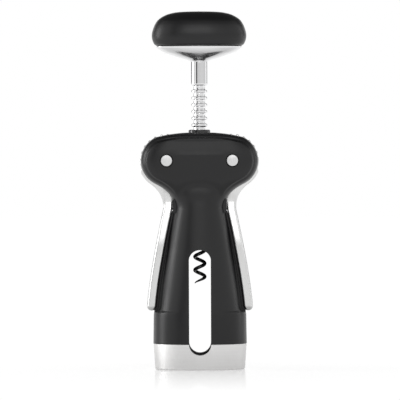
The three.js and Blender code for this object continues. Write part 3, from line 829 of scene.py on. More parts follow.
@dataclass
class Body:
    """The moulded body: its outer skin, its hollows, and the two shells parted along the middle."""

    base_half_width: float = PLAN.ring_half_width + 0.1
    base_half_depth: float = PLAN.ring_half_depth + 0.4
    waist_half_width: float = 14.6
    waist_half_depth: float = 15.6
    waist_z: float = PLAN.pivot_z - 27.2
    head_half_depth: float = 14.5
    head_edge: float = 3.4
    cover_radius: float = 14.81
    shelf_z: float = PLAN.arm_tip - 0.8
    arm_thickness: float = 5.8
    arm_overhang: float = 0.9
    lever_gap: float = 0.5
    channel_gap: float = 0.7
    seam: float = 0.2
    ring_wall: float = 2.0
    ring_taper: float = 1.0
    neck_radius: float = 15.75
    neck_depth: float = 46.0
    cork_radius: float = 12.75
    window_half: float = 6.3
    window_top: float = 68.4
    window_bottom: float = 8.5
    guide_top: float = 13.2
    slot_half: float = 4.0
    hub_reach: float = 16.76
    gear_reach: float = 15.76
    pin_recess: float = 3.85
    screw_spots: tuple = ((9.6, PLAN.pivot_z - 19.4, 8.0), (21.275, PLAN.ring_top + 8.4, 9.0))
    panel_inset: float = 3.0
    panel_rise: float = 1.15
    recess_web: float = 5.0
    rib_half: float = 3.4
    flank_foot: float = 24.0
    flank_top: float = 66.0
    around: int = 256

    def arm_middle(self, z: np.ndarray) -> np.ndarray:
        """The folded arm's middle, outwards from the axis: from the waist to the tip by 1 - (1 - s)^1.35."""
        waist = self.waist_half_width + self.lever_gap + self.arm_thickness / 2
        tip = self.base_half_width + self.arm_overhang
        share = np.clip((self.waist_z - z) / (self.waist_z - PLAN.arm_tip), 0, 1)
        return waist + (tip - waist) * (1 - (1 - share) ** 1.35)

    def channel(self, z: np.ndarray) -> np.ndarray:
        """The body's side behind the arm: the arm's inner face less a gap that grows downwards."""
        share = (self.waist_z - z) / (self.waist_z - self.shelf_z)
        gap = self.lever_gap + (self.channel_gap - self.lever_gap) * share
        return self.arm_middle(z) - self.arm_thickness / 2 - gap

    def half_depth(self, z: np.ndarray) -> np.ndarray:
        """Half depth at a height, before the crown's rounding."""
        return through(
            [
                (PLAN.ring_top, self.base_half_depth),
                (self.shelf_z, self.base_half_depth - 0.6),
                (self.waist_z, self.waist_half_depth),
                (PLAN.pivot_z - 18, self.head_half_depth + 0.1),
                (PLAN.pivot_z - 10, self.head_half_depth),
                (PLAN.pivot_z + 4, self.head_half_depth - 0.1),
                (PLAN.crown - 5, self.head_half_depth - 1.1),
            ],
            z,
        )

    def squareness(self, z: np.ndarray) -> np.ndarray:
        """The superellipse's power at a height: near 2 is an oval, more is a slab with round edges."""
        return through(
            [
                (PLAN.ring_top, 2.3),
                (self.waist_z, 2.3),
                (PLAN.pivot_z - 14, 3.6),
                (PLAN.pivot_z - 8, 4.4),
                (PLAN.crown, 4.4),
            ],
            z,
        )

    def silhouette(self) -> np.ndarray:
        """The right side's outline over the ring, from the base to the crown, as rows of (x, z)."""
        foot = float(self.channel(np.array(self.shelf_z)))
        ledge = bezier(
            [
                (self.base_half_width - 0.3, self.shelf_z - 1.5),
                (self.base_half_width - 0.4, self.shelf_z + 0.5),
                (foot + 1.8, self.shelf_z - 0.4),
                (float(self.channel(np.array(self.shelf_z + 2.4))), self.shelf_z + 2.4),
            ],
            16,
        )
        column_z = np.linspace(self.shelf_z + 3.4, self.waist_z - 0.5, 60)
        column = np.stack([self.channel(column_z), column_z], 1)
        under = arc(PLAN.pivot_x, PLAN.pivot_z, self.cover_radius, -62, 64, 90)
        lean = math.radians(-62)
        fillet = bezier(
            [
                (self.waist_half_width, self.waist_z),
                (self.waist_half_width, self.waist_z + 8.5),
                (under[0, 0] + 5 * math.sin(lean), under[0, 1] - 5 * math.cos(lean)),
                tuple(under[0]),
            ],
            44,
        )[:-1]
        crown = bezier(
            [
                tuple(under[-1]),
                (PLAN.pivot_x + 1, PLAN.pivot_z + self.cover_radius + 0.1),
                (12.6, PLAN.crown - 0.2),
                (7.5, PLAN.crown),
            ],
            34,
        )[1:]
        base_z = np.linspace(PLAN.ring_top, self.shelf_z - 2, 9)
        lean_in = np.interp(base_z, [PLAN.ring_top, self.shelf_z], [0, -0.3])
        base = np.stack([lean_in + self.base_half_width, base_z], 1)
        return np.concatenate([base, ledge, column, fillet, under, crown])

    def relief(self, rows: np.ndarray, edge: np.ndarray) -> np.ndarray:
        """The faces' relief: a raised panel on the head, a soft ridge on it, and a valley over the column.

        The panel rises by a smooth step of the distance inside the outline. The ridge is a bell curve of the
        height, faded out sideways. The valley is a bell curve of the height over an arc that sinks with x
        squared. Each is added to the half depth, scaled by the point's share of it.

        Args:
            rows: the skin's rows, in millimetres.
            edge: the right side's outline.

        Returns:
            The rows with relief.
        """
        x, y, z = rows[..., 0], rows[..., 1], rows[..., 2]
        flat = np.stack([np.abs(x), z], -1).reshape(-1, 1, 2)
        top = np.linspace(edge[-1, 0], 0, 12)
        line = np.concatenate([edge[::2], np.stack([top, np.full(12, PLAN.crown)], 1)])[None]
        gap = np.sqrt(((flat - line) ** 2).sum(-1)).min(1).reshape(x.shape)
        step = np.clip((gap - self.panel_inset + 0.5) / 1.1, 0, 1)
        height = np.clip((z - (PLAN.pivot_z - 24)) / 14, 0, 1)
        panel = self.panel_rise * step * step * (3 - 2 * step) * height * height * (3 - 2 * height)
        side = np.clip((15.5 - np.abs(x)) / 6, 0, 1)
        ridge = 0.28 * np.exp(-(((z - PLAN.pivot_z - 3.0) / 1.5) ** 2)) * side
        sunk = PLAN.pivot_z - 13.8 - (x / 13.0) ** 2 * 5.0
        valley = -0.95 * np.exp(-(((z - sunk) / 3.4) ** 2)) * np.clip((14 - np.abs(x)) / 5, 0, 1)
        face = np.clip(np.abs(y) / np.maximum(np.abs(y).max(1, keepdims=True), 1e-6), 0, 1) ** 2
        out = rows.copy()
        out[..., 1] += np.sign(y) * (panel + ridge + valley) * face
        return out

    def recess(self, side: Side, half: Half) -> bpy.types.Object:
        """A cutter for the rebate beside a folded arm, wider downwards and round at its end over the base."""
        start = self.waist_z - 1.5
        z = np.linspace(start, self.shelf_z + 3.5, 40)
        share = (start - z) / (start - self.shelf_z)
        inner = np.stack([self.channel(z) - 0.15 - 1.9 * share, z], 1)
        out = float(self.channel(np.array(self.shelf_z)))
        end, shelf = inner[-1], self.shelf_z
        foot = bezier([tuple(end), (end[0], shelf + 0.6), (out, shelf), (out + 3, shelf)], 8)
        outline = np.concatenate([inner, foot[1:], [(out + 9, self.shelf_z), (out + 9, start)]])
        near, far = sorted((half.value * self.recess_web, half.value * FAR))
        return prism("recess", sided(outline, side), near, far)

    def rib(self, side: Side, spare: float, half: float, reach: float) -> bpy.types.Object:
        """A rib from the channel's floor into the folded arm's groove, or that groove's cutter.

        Its outer edge follows the arm's inner face, sunk by reach, then the tip's arc down to the shelf.

        Args:
            side: the lever's side.
            spare: how much longer the groove is at the top.
            half: half the width along Y.
            reach: how far the edge lies inside the arm's inner face.

        Returns:
            The rib as a closed solid.
        """
        radius = self.arm_thickness / 2
        z = np.linspace(self.waist_z - 1.5 + spare, PLAN.arm_tip + radius, 50)
        face = np.stack([self.arm_middle(z) - radius + reach, z], 1)
        middle = float(self.arm_middle(z[-1:])[0])
        tip = arc(middle, z[-1], radius - reach, 180, 238, 12)[1:]
        inside = float(self.channel(np.array(self.shelf_z))) - 1
        foot = [(tip[-1, 0], self.shelf_z - 1), (inside, self.shelf_z - 1)]
        inner = np.stack([self.channel(z) - 1, z], 1)[::-1]
        outline = np.concatenate([face, tip, foot, inner])[::-1]
        return prism("rib", sided(outline, side), -half, half)

    def lip(self, side: Side, half: Half) -> bpy.types.Object:
        """A lip beside the gear slot that overlaps the lever's root from the front."""
        top, foot = self.waist_z + 8, self.waist_z - 2.6
        edge = bezier([(14.2, top), (15.2, top - 3), (15.7, self.waist_z + 2), (15.35, foot)], 12)
        outline = np.concatenate([edge[::-1], [(11.0, top), (11.0, foot)]])
        near, far = sorted((half.value * 5.0, half.value * 7.6))
        return prism("lip", sided(outline, side), near, far)

    def flanks(self, rows: np.ndarray, edge: np.ndarray) -> np.ndarray:
        """The skin widened beside the folded arms, so that the faces carry no step.

        Only the middle follows the channel. Past 8 to 13 mm from the middle plane the width runs straight
        from the base to the column, blended by a smooth step of the distance from that plane.

        Args:
            rows: the skin's rows, in millimetres.
            edge: the right side's outline.

        Returns:
            The rows, widened.
        """
        width, z = edge[:, 0], edge[:, 1]
        foot_width = self.base_half_width - 0.15
        top_width = float(self.channel(np.array(self.flank_top)))
        share = np.clip((z - self.flank_foot) / (self.flank_top - self.flank_foot), 0, 1)
        line = foot_width + (top_width - foot_width) * share
        broad = np.where(z < self.flank_top, np.maximum(width, line), width)
        blend = np.clip((np.abs(rows[..., 1]) - 8) / 5, 0, 1)
        blend = blend * blend * (3 - 2 * blend)
        out = rows.copy()
        out[..., 0] *= 1 + (broad / width - 1)[:, None] * blend
        return out

    def outer(self) -> bpy.types.Object:
        """The whole outer skin with its spigot, a superellipse at each height of the outline."""
        edge = self.silhouette()
        z = edge[:, 1]
        depth = self.half_depth(z)
        rise = np.clip(z - (PLAN.crown - self.head_edge), 0, self.head_edge)
        depth = depth + np.sqrt(self.head_edge**2 - rise**2) - self.head_edge
        rows = oval_rows(z, edge[:, 0], depth, self.squareness(z), self.around)
        rows = self.relief(self.flanks(rows, edge), edge)
        share = self.base_half_depth / self.base_half_width
        spigot_z = np.array([PLAN.ring_top - 10.7, PLAN.ring_top])
        wide = self.base_half_width - 0.1 - self.ring_taper * (1 - spigot_z / PLAN.ring_top)
        inset = self.ring_wall + 0.15
        spigot = oval_rows(spigot_z, wide - inset, wide * share - inset, np.full(2, 2.3), self.around)
        return skin("body", np.concatenate([spigot, rows]))

    def window(self) -> bpy.types.Object:
        """A cutter for the round-ended window, right through."""
        top = arc(0, self.window_top - self.window_half, self.window_half, 0, 180, 40)
        foot = arc(0, self.window_bottom + self.window_half, self.window_half, 180, 360, 40)
        return prism("window", np.concatenate([top, foot]), -FAR, FAR)

    def gear_slot(self, side: Side) -> bpy.types.Object:
        """A cutter for the slot in which a lever's gear and root move."""
        x, z = PLAN.pivot_x, PLAN.pivot_z
        root = self.waist_half_width + self.lever_gap
        out = self.base_half_width + x
        tail = [(root - 2.7, z - 15.2), (root - 1.8, z - 21), (root - 1, self.waist_z - 1)]
        tail += [(out, self.waist_z - 1), (out, z - 8)]
        outline = np.concatenate(
            [
                arc(x, z, self.hub_reach, -40, 140, 60),
                arc(x, z, self.gear_reach, 145, 225, 30),
                np.array(tail),
            ]
        )
        return prism("gear_slot", sided(outline, side), -self.slot_half, self.slot_half)

    def hollow(self) -> bpy.types.Object:
        """A cutter for the bores along the axis, from the neck's room up to the collar's seat."""
        guide_foot = self.waist_z + 0.8
        guide_head = PLAN.pivot_z - 12.4
        profile = [
            (0, -1, 0),
            (17.4, -1, 0),
            (17.4, self.guide_top + 0.3, 0),
            (self.neck_radius + 0.25, self.guide_top + 0.3, 0),
            (self.neck_radius + 0.25, self.neck_depth, 0),
            (self.cork_radius, self.neck_depth + 2.5, 0),
            (self.cork_radius, self.waist_z - 9, 2.0),
            (5.65, self.waist_z - 1.8, 0),
            (5.65, guide_foot - 0.3, 0),
            (8.35, guide_foot - 0.3, 0),
            (8.35, guide_foot + 2.5, 0),
            (6.95, guide_foot + 2.5, 0),
            (6.95, guide_head + 0.3, 0),
            (5.45, guide_head + 0.3, 0),
            (5.45, PLAN.crown - 6.3, 0),
            (6.0, PLAN.crown - 6.3, 0),
            (6.0, PLAN.crown - 0.3, 0),
            (6.6, PLAN.crown - 0.3, 0.1),
            (6.9, PLAN.crown + 1, 0),
            (0, PLAN.crown + 1, 0),
        ]
        return revolve("hollow", rounded(profile))

    def cutters(self) -> list[bpy.types.Object]:
        """Every cutter of the body."""
        made = [self.hollow(), self.window()]
        face = self.head_half_depth - 1.9
        for side in Side:
            x = side.value * PLAN.pivot_x
            made.append(self.gear_slot(side))
            made += [self.recess(side, half) for half in Half]
            made.append(rod_y("hole", 3.15, -FAR, FAR, x, PLAN.pivot_z))
            made.append(rod_y("recess", self.pin_recess, -FAR, -face, x, PLAN.pivot_z))
            made.append(rod_y("recess", self.pin_recess, face, FAR, x, PLAN.pivot_z))
            for across, z, seat in self.screw_spots:
                made.append(rod_y("screw_hole", 1.4, -9, seat + 1, side.value * across, z))
                made.append(rod_y("screw_seat", 2.65, seat, FAR, side.value * across, z))
        return made

    def build(self) -> None:
        """Builds, parts and dresses the shells."""
        whole = combine(self.outer(), self.cutters())
        combine(whole, [self.rib(side, 0.0, self.rib_half, 0.35) for side in Side], Cut.JOIN)
        combine(whole, [self.lip(side, half) for side in Side for half in Half], Cut.JOIN)
        for half in Half:
            shell = placed(f"{half.word}_body_shell", whole.data.copy())
            near, far = sorted((half.value * self.seam / 2, half.value * FAR))
            block = np.array([(-FAR, -5), (FAR, -5), (FAR, PLAN.crown + 5), (-FAR, PLAN.crown + 5)], float)
            combine(shell, [prism("room", block, near, far)], Cut.KEEP)
            SOFT_TOUCH.dress(shell, "housing", f"{half.word}_shell")
        bpy.data.objects.remove(whole)


BASE_SCREWS = [f"base_screw_{half.word}_{side.word}" for half in Half for side in Side]
SHELL_SCREWS = [f"shell_screw_{row}_{side.word}" for row in ("upper", "lower") for side in Side]


@dataclass
class Foot:
    """The satin ring round the foot, and the neck guide inside it."""

    body: Body
    edge: float = 0.8
    guide_foot: float = 0.8
    flange: float = 3.0
    sleeve_wall: float = 1.5

    def oval(self, z: Sequence[float], inset: Sequence[float]) -> np.ndarray:
        """Rows of the ring's oval at heights, each moved in by its inset."""
        z, inset = np.array(z, float), np.array(inset, float)
        body = self.body
        wide = body.base_half_width - 0.1 - body.ring_taper * (1 - z / PLAN.ring_top)
        share = body.base_half_depth / body.base_half_width
        return oval_rows(z, wide - inset, wide * share - inset, np.full(len(z), 2.3), body.around)

    def ring(self) -> bpy.types.Object:
        """The ring: a tapered oval wall with eased rims and the window's notch."""
        t = np.radians(np.linspace(0, 90, 6))
        low_z = self.edge * (1 - np.cos(t))
        low_in = self.edge * (1 - np.sin(t))
        top_z = PLAN.ring_top - 0.3 * (1 - np.sin(t))
        top_in = 0.3 * (1 - np.cos(t))
        outer = skin("ring_of_foot", self.oval([*low_z, *top_z], [*low_in, *top_in]))
        inner = skin("bore", self.oval([-1, PLAN.ring_top + 1], [self.body.ring_wall] * 2))
        return combine(outer, [inner, self.body.window()])

    def guide(self) -> bpy.types.Object:
        """The neck guide: a flange in the ring's foot, a sleeve, and a flared mouth."""
        inset = self.body.ring_wall + 0.15
        top = self.guide_foot + self.flange
        made = skin("guide_for_neck", self.oval([self.guide_foot, top], [inset, inset]))
        radius = self.body.neck_radius
        sleeve = post("sleeve", radius + self.sleeve_wall, top - 1, self.body.guide_top, (0, 0.5))
        mouth = rounded(
            [
                (0, -1, 0),
                (radius + 2.6, -1, 0),
                (radius + 1.3, 0.8, 0.4),
                (radius, 3.2, 1.2),
                (radius, 20, 0),
                (0, 20, 0),
            ]
        )
        combine(made, [sleeve], Cut.JOIN)
        cutters = [revolve("mouth", mouth), self.body.window()]
        for node in BASE_SCREWS:
            spot = tuple((low(node) + high(node))[:2] / 2)
            cutters.append(post("seat", 2.15, -1, 2.3, sides=48, spot=spot))
            cutters.append(post("hole", 1.4, 0, 14, sides=32, spot=spot))
        return combine(made, cutters)

    def build(self) -> None:
        """Builds and dresses the ring and the guide."""
        RING_STEEL.dress(self.ring(), "housing", "base_ring")
        HARD_BLACK.dress(self.guide(), "housing", "neck_guide")


@dataclass
class Fasteners:
    """The shells' and the foot's screws, and the pivot pins with their rear caps."""

    socket: float = 1.2
    dish: float = 0.25

    def upright_screw(self, node: str) -> bpy.types.Object:
        """A screw along Z with its head down, in the node's box."""
        start, stop = low(node), high(node)
        x, y = (start + stop)[:2] / 2
        head = (stop[0] - start[0]) / 2
        foot, top = start[2], stop[2]
        profile = rounded(
            [
                (0, foot, 0),
                (head, foot, 0.35),
                (head, foot + 1.3, 0),
                (1.25, foot + 1.3, 0),
                (1.25, top, 0.3),
                (0, top, 0),
            ]
        )
        made = revolve(f"{node}_steel", profile, 48, x, y)
        hexagon = self.socket * np.stack([np.cos(turn(6)), np.sin(turn(6))], 1) + (x, y)
        rows = np.stack([np.insert(hexagon, 2, z, axis=1) for z in (foot - 1, foot + 0.8)])
        return combine(made, [skin("socket", rows)])

    def level_screw(self, node: str) -> bpy.types.Object:
        """A screw along Y with its head to the rear, in the node's box."""
        start, stop = low(node), high(node)
        x, z = (start[0] + stop[0]) / 2, (start[2] + stop[2]) / 2
        head = (stop[0] - start[0]) / 2
        made = rod_y(f"{node}_steel", head, stop[1] - 2.0, stop[1], x, z, 0.3)
        combine(made, [rod_y("shaft", 1.25, start[1], stop[1] - 1.5, x, z)], Cut.JOIN)
        hexagon = arc(x, z, self.socket, 0, 300, 5)
        return combine(made, [prism("socket", hexagon, stop[1] - 1.2, stop[1] + 1)])

    def pin(self, side: Side) -> None:
        """Builds and dresses a pivot pin with its flat front head, and its rear cap."""
        node, cap = f"{side.word}_pivot_pin", f"{side.word}_pin_cap"
        x = side.value * PLAN.pivot_x
        head = (high(node)[0] - low(node)[0]) / 2
        front, rear = low(node)[1], high(cap)[1]
        pin = rod_y(f"{node}_steel", head, front, front + 1.8, x, PLAN.pivot_z, self.dish)
        shaft = rod_y("shaft", 3.0, front + 1.5, high(node)[1], x, PLAN.pivot_z)
        bore = rod_y("bore", 1.65, 4.0, FAR, x, PLAN.pivot_z)
        combine(pin, [shaft], Cut.JOIN)
        combine(pin, [bore])
        button = rod_y(f"{cap}_steel", head, rear - 1.8, rear, x, PLAN.pivot_z, self.dish)
        combine(button, [rod_y("stud", 1.5, low(cap)[1], rear - 1.5, x, PLAN.pivot_z)], Cut.JOIN)
        hexagon = arc(x, PLAN.pivot_z, 1.5, 0, 300, 5)
        combine(button, [prism("socket", hexagon, rear - 1.1, rear + 1)])
        PIN_STEEL.dress(pin, "housing", node)
        PIN_STEEL.dress(button, "housing", cap)

    def build(self) -> None:
        """Builds and dresses every fastener of the housing."""
        for node in BASE_SCREWS:
            PIN_STEEL.dress(self.upright_screw(node), "housing", node)
        for node in SHELL_SCREWS:
            PIN_STEEL.dress(self.level_screw(node), "housing", node)
        for side in Side:
            self.pin(side)


# ---- Levers --------------------------------------------------------------------------------------------


@dataclass
class Lever:
    """A cast lever: a hub with its gear sector, a root that leaves it downwards, and a broad arm."""

    side: Side
    body: Body
    teeth_per_turn: int = 24
    pitch: float = 3.85
    play: float = 0.45
    phase: float = -0.8
    tip_radius: float = 15.256
    root_radius: float = 13.856
    hub_radius: float = 16.256
    hub_half: float = 3.5
    arm_half_width: float = 7.8
    bore: float = 3.1
    edge: float = 0.45
    corner: float = 0.85
    lean: float = 1.7
    box_power: int = 6

    def teeth(self) -> np.ndarray:
        """The teeth's corners about the pivot, from the outer side over the top to below the mesh.

        A tooth is four corners: at the root and at the tip, each side of its middle. Its half angle is the
        pitch line's half thickness, less the flank's slope times the radius past the pitch line, over the
        radius.
        """
        pitch_radius = self.teeth_per_turn * self.pitch / (2 * math.pi)
        step = 360 / self.teeth_per_turn
        mesh = 180 - math.degrees(self.phase / pitch_radius)
        slope = math.tan(math.radians(20))
        half = (self.pitch - self.play) / 4
        last = math.ceil(PLAN.swing / step) + 1
        middles = mesh - step * np.arange(last, -2, -1)
        radii = np.array([self.root_radius, self.tip_radius, self.tip_radius, self.root_radius])
        signs = np.array([-1, -1, 1, 1])
        offsets = signs * np.degrees((half - (radii - pitch_radius) * slope) / radii)
        angle = np.radians(middles[:, None] + offsets[None, :]).ravel()
        radius = np.tile(radii, len(middles))
        return np.stack([radius * np.cos(angle), radius * np.sin(angle)], 1)

    def hub_outline(self) -> np.ndarray:
        """The hub's outline about the pivot, anticlockwise: rim, teeth, inner root, outer root."""
        waist = self.body.waist_half_width + self.body.lever_gap - PLAN.pivot_x
        outer = waist + self.body.arm_thickness
        drop = PLAN.pivot_z - self.body.waist_z
        start, stop = self.polar(self.root_radius, 248), self.polar(self.hub_radius, -58)
        inside = bezier([start, (waist + 0.6, -16.5), (waist, -20), (waist, -drop)], 14)
        outside = bezier([(outer, -drop), (outer, -20.5), (outer + 2.6, -17), stop], 14)
        step = [(self.hub_radius, -25), (16.2, -22), (15.4, -20), (self.tip_radius, -16)]
        return np.concatenate(
            [
                arc(0, 0, self.tip_radius, -14, 6, 8),
                self.teeth(),
                arc(0, 0, self.root_radius, 206, 244, 8),
                inside,
                outside,
                arc(0, 0, self.hub_radius, -54, -28, 10),
                bezier([self.polar(*place) for place in step], 4),
            ]
        )

    @staticmethod
    def polar(radius: float, degrees: float) -> tuple[float, float]:
        """A point at a radius and an angle."""
        angle = math.radians(degrees)
        return radius * math.cos(angle), radius * math.sin(angle)

    def arm(self) -> bpy.types.Object:
        """The arm, from inside the root to its rounded tip.

        Each row's radius at an angle is the soft minimum of a rounded box and of the leaning lines that cut
        its corners, which gives long facets. Over the last half thickness the row shrinks by
        1 - cos t while its height runs out by sin t, which rounds the tip.
        """
        half = self.body.arm_thickness / 2
        waist, tip = self.body.waist_z, PLAN.arm_tip
        z = np.linspace(waist + 5, tip + half, 70)
        wide = through(
            [
                (tip, self.arm_half_width - 0.4),
                (waist - 22, self.arm_half_width),
                (waist - 8, self.arm_half_width - 2.2),
                (waist + 4, self.hub_half),
            ],
            z,
        )
        thick = np.full_like(z, half)
        t = np.radians(np.linspace(8, 88, 12))
        shrink = half * (1 - np.cos(t))
        z = np.concatenate([z, tip + half * (1 - np.sin(t))])
        wide = np.concatenate([wide, wide[-1] - shrink])
        thick = np.concatenate([thick, half - shrink])
        middle = self.body.arm_middle(z) - PLAN.pivot_x
        t = turn(96)
        across, along = thick[:, None] * np.sin(t), wide[:, None] * np.cos(t)
        size = np.sqrt(across**2 + along**2)
        u, v = np.abs(across / size), np.abs(along / size)
        power = self.box_power
        box = ((u / thick[:, None]) ** power + (v / wide[:, None]) ** power) ** (-1 / power)
        facet = (wide + self.lean * thick * (1 - self.corner / half))[:, None] / (self.lean * u + v)
        radius = (box**-24.0 + facet**-24.0) ** (-1 / 24)
        x = middle[:, None] + radius * across / size
        y = radius * along / size
        return skin("arm", np.stack([x, y, np.repeat((z - PLAN.pivot_z)[:, None], 96, 1)], -1))

    def build(self) -> None:
        """Builds and dresses the lever at rest."""
        made = eased_prism(f"{self.side.word}_lever_metal", self.hub_outline(), self.hub_half, self.edge)
        combine(made, [self.arm()], Cut.JOIN)
        groove = self.body.rib(Side.RIGHT, 0.5, self.body.rib_half + 0.4, 0.8)
        groove.data.transform(Matrix.Translation((-PLAN.pivot_x * MM, 0, -PLAN.pivot_z * MM)))
        combine(made, [rod_y("bore", self.bore, -FAR, FAR, 0, 0), groove])
        mesh = made.data
        points = np.empty(len(mesh.vertices) * 3, np.float32)
        mesh.vertices.foreach_get("co", points)
        points = points.reshape(-1, 3)
        points += np.array([PLAN.pivot_x, 0, PLAN.pivot_z], np.float32) * MM
        points[:, 0] *= self.side.value
        mesh.vertices.foreach_set("co", points.ravel())
        if self.side is Side.LEFT:
            mesh.flip_normals()
        node = f"{self.side.word}_lever"
        SATIN_STEEL.dress(made, node, node)


# ---- Screw: collar, rack, worm and knob ------------------------------------------------------------------


@dataclass
class RackAndWorm:
    """The turning collar, the rack with ring teeth, its lower guide, and the worm with its pin."""

    shank: float = 4.85
    tip: float = 4.7
    core: float = 3.4
    pitch: float = 3.85
    phase: float = -0.8
    worm_wire: float = 1.02
    worm_radius: float = 2.82
    worm_pitch: float = 7.64
    worm_turns_detail: int = 56

    def collar(self) -> bpy.types.Object:
        """The bush: an eased flange on the crown over a barrel, with a bore round the shank."""
        flange = high("top_collar")[0]
        top, foot = PLAN.collar_top, low("top_collar")[2]
        bore, barrel, seat = 4.95, flange - 0.4, PLAN.crown - 0.3
        profile = rounded(
            [
                (bore, foot + 3, 0),
                (bore, foot, 0.2),
                (barrel, foot, 0.3),
                (barrel, seat, 0),
                (flange, seat, 0.1),
                (flange, top, 0.7),
                (bore, top, 0.35),
                (bore, foot + 3, 0),
            ]
        )
        return revolve("collar_of_rack", profile)

    def guide(self) -> bpy.types.Object:
        """The rack's lower guide: a lipped bush."""
        foot, top = low("rack_guide")[2], high("rack_guide")[2]
        profile = rounded(
            [
                (5.0, foot + 3, 0),
                (5.0, foot, 0.3),
                (8.2, foot, 0.3),
                (8.2, foot + 2.2, 0.2),
                (6.8, foot + 2.2, 0),
                (6.8, top, 0.3),
                (5.0, top, 0.4),
                (5.0, foot + 3, 0),
            ]
        )
        return revolve("lower_guide_of_rack", profile)

    def rack(self) -> bpy.types.Object:
        """The rack: ring teeth with 20 degree flanks and eased tips between a plain tail and the shank."""
        foot, shoulder = PLAN.rack_foot, PLAN.shoulder
        half = (self.pitch - 0.45) / 4
        slope = math.tan(math.radians(20))
        tip_half = half - 0.6 * slope
        core_half = half + 0.7 * slope
        top_tooth = math.floor(PLAN.travel / self.pitch) + 1
        shank_foot = PLAN.pivot_z + self.phase + (top_tooth + 1.5) * self.pitch
        tail = self.tip - 0.4
        corners = [
            (0, foot + 10.5, 0),
            (1.9, foot + 10.5, 0),
            (1.9, foot, 0),
            (tail, foot, 0.6),
            (tail, PLAN.pivot_z + self.phase - 2 * self.pitch - 1.2, 0.3),
            (self.core, PLAN.pivot_z + self.phase - 2 * self.pitch - 0.4, 0.2),
        ]
        for tooth in range(-2, top_tooth + 1):
            middle = PLAN.pivot_z + self.phase + (tooth + 0.5) * self.pitch
            corners += [
                (self.core, middle - core_half, 0.35),
                (self.tip, middle - tip_half, 0.28),
                (self.tip, middle + tip_half, 0.28),
                (self.core, middle + core_half, 0.35),
            ]
        corners += [
            (self.core, shank_foot - 1, 0.4),
            (self.shank, shank_foot, 0.5),
            (self.shank, shoulder, 0.3),
            (3.45, shoulder, 0),
            (3.45, shoulder + 6, 0.3),
            (1.4, shoulder + 6, 0),
            (1.4, shoulder - 4, 0),
            (0, shoulder - 4, 0),
        ]
        made = revolve("toothed_rack", rounded(corners, 4), 80)
        hole = rod_y("hole", 0.68, -FAR, FAR, 0, foot + 4.0)
        return combine(made, [hole])

    def worm(self) -> bpy.types.Object:
        """The worm: a wire round a right-handed helix that closes onto a straight shank.

        With s the height over the tip, the wire's middle is at the tip's angle plus s over the pitch turns,
        at a radius that closes smoothly to 0 over the last millimetres, and the wire tapers to a point over
        the first half turn.
        """
        head = PLAN.rack_foot + 1
        tip_z = PLAN.worm_tip + 0.1
        z = np.linspace(tip_z, head, 8 * self.worm_turns_detail)
        angle = np.pi + (z - tip_z) / self.worm_pitch * 2 * np.pi
        close = np.clip((head - z - 0.5) / 4.5, 0, 1)
        radius = self.worm_radius * close * close * (3 - 2 * close)
        line = np.stack([radius * np.cos(angle), radius * np.sin(angle), z], 1)
        share = (z - tip_z) / (0.5 * self.worm_pitch)
        wire = self.worm_wire * np.clip(0.14 + 0.86 * share**0.8, 0, 1)
        made = tube("worm_wire", line, wire, 20)
        shank = post("shank", 1.75, head - 0.7, head + 9, (0.4, 0), sides=48)
        combine(made, [shank], Cut.JOIN)
        return combine(made, [rod_y("hole", 0.68, -FAR, FAR, 0, PLAN.rack_foot + 4.0)])

    def build(self) -> None:
        """Builds and dresses the collar, the guide, the rack, the worm and its pin."""
        GLOSS_BLACK.dress(self.collar(), "turning_collar", "top_collar")
        HARD_BLACK.dress(self.guide(), "housing", "rack_guide")
        CHROME.dress(self.rack(), "screw", "rack")
        COATED.dress(self.worm(), "screw", "worm")
        start, stop = low("worm_pin"), high("worm_pin")
        pin = rod_y("pin_of_worm", 0.6, start[1], stop[1], 0, (start[2] + stop[2]) / 2, 0.15)
        PIN_STEEL.dress(pin, "screw", "worm_pin")


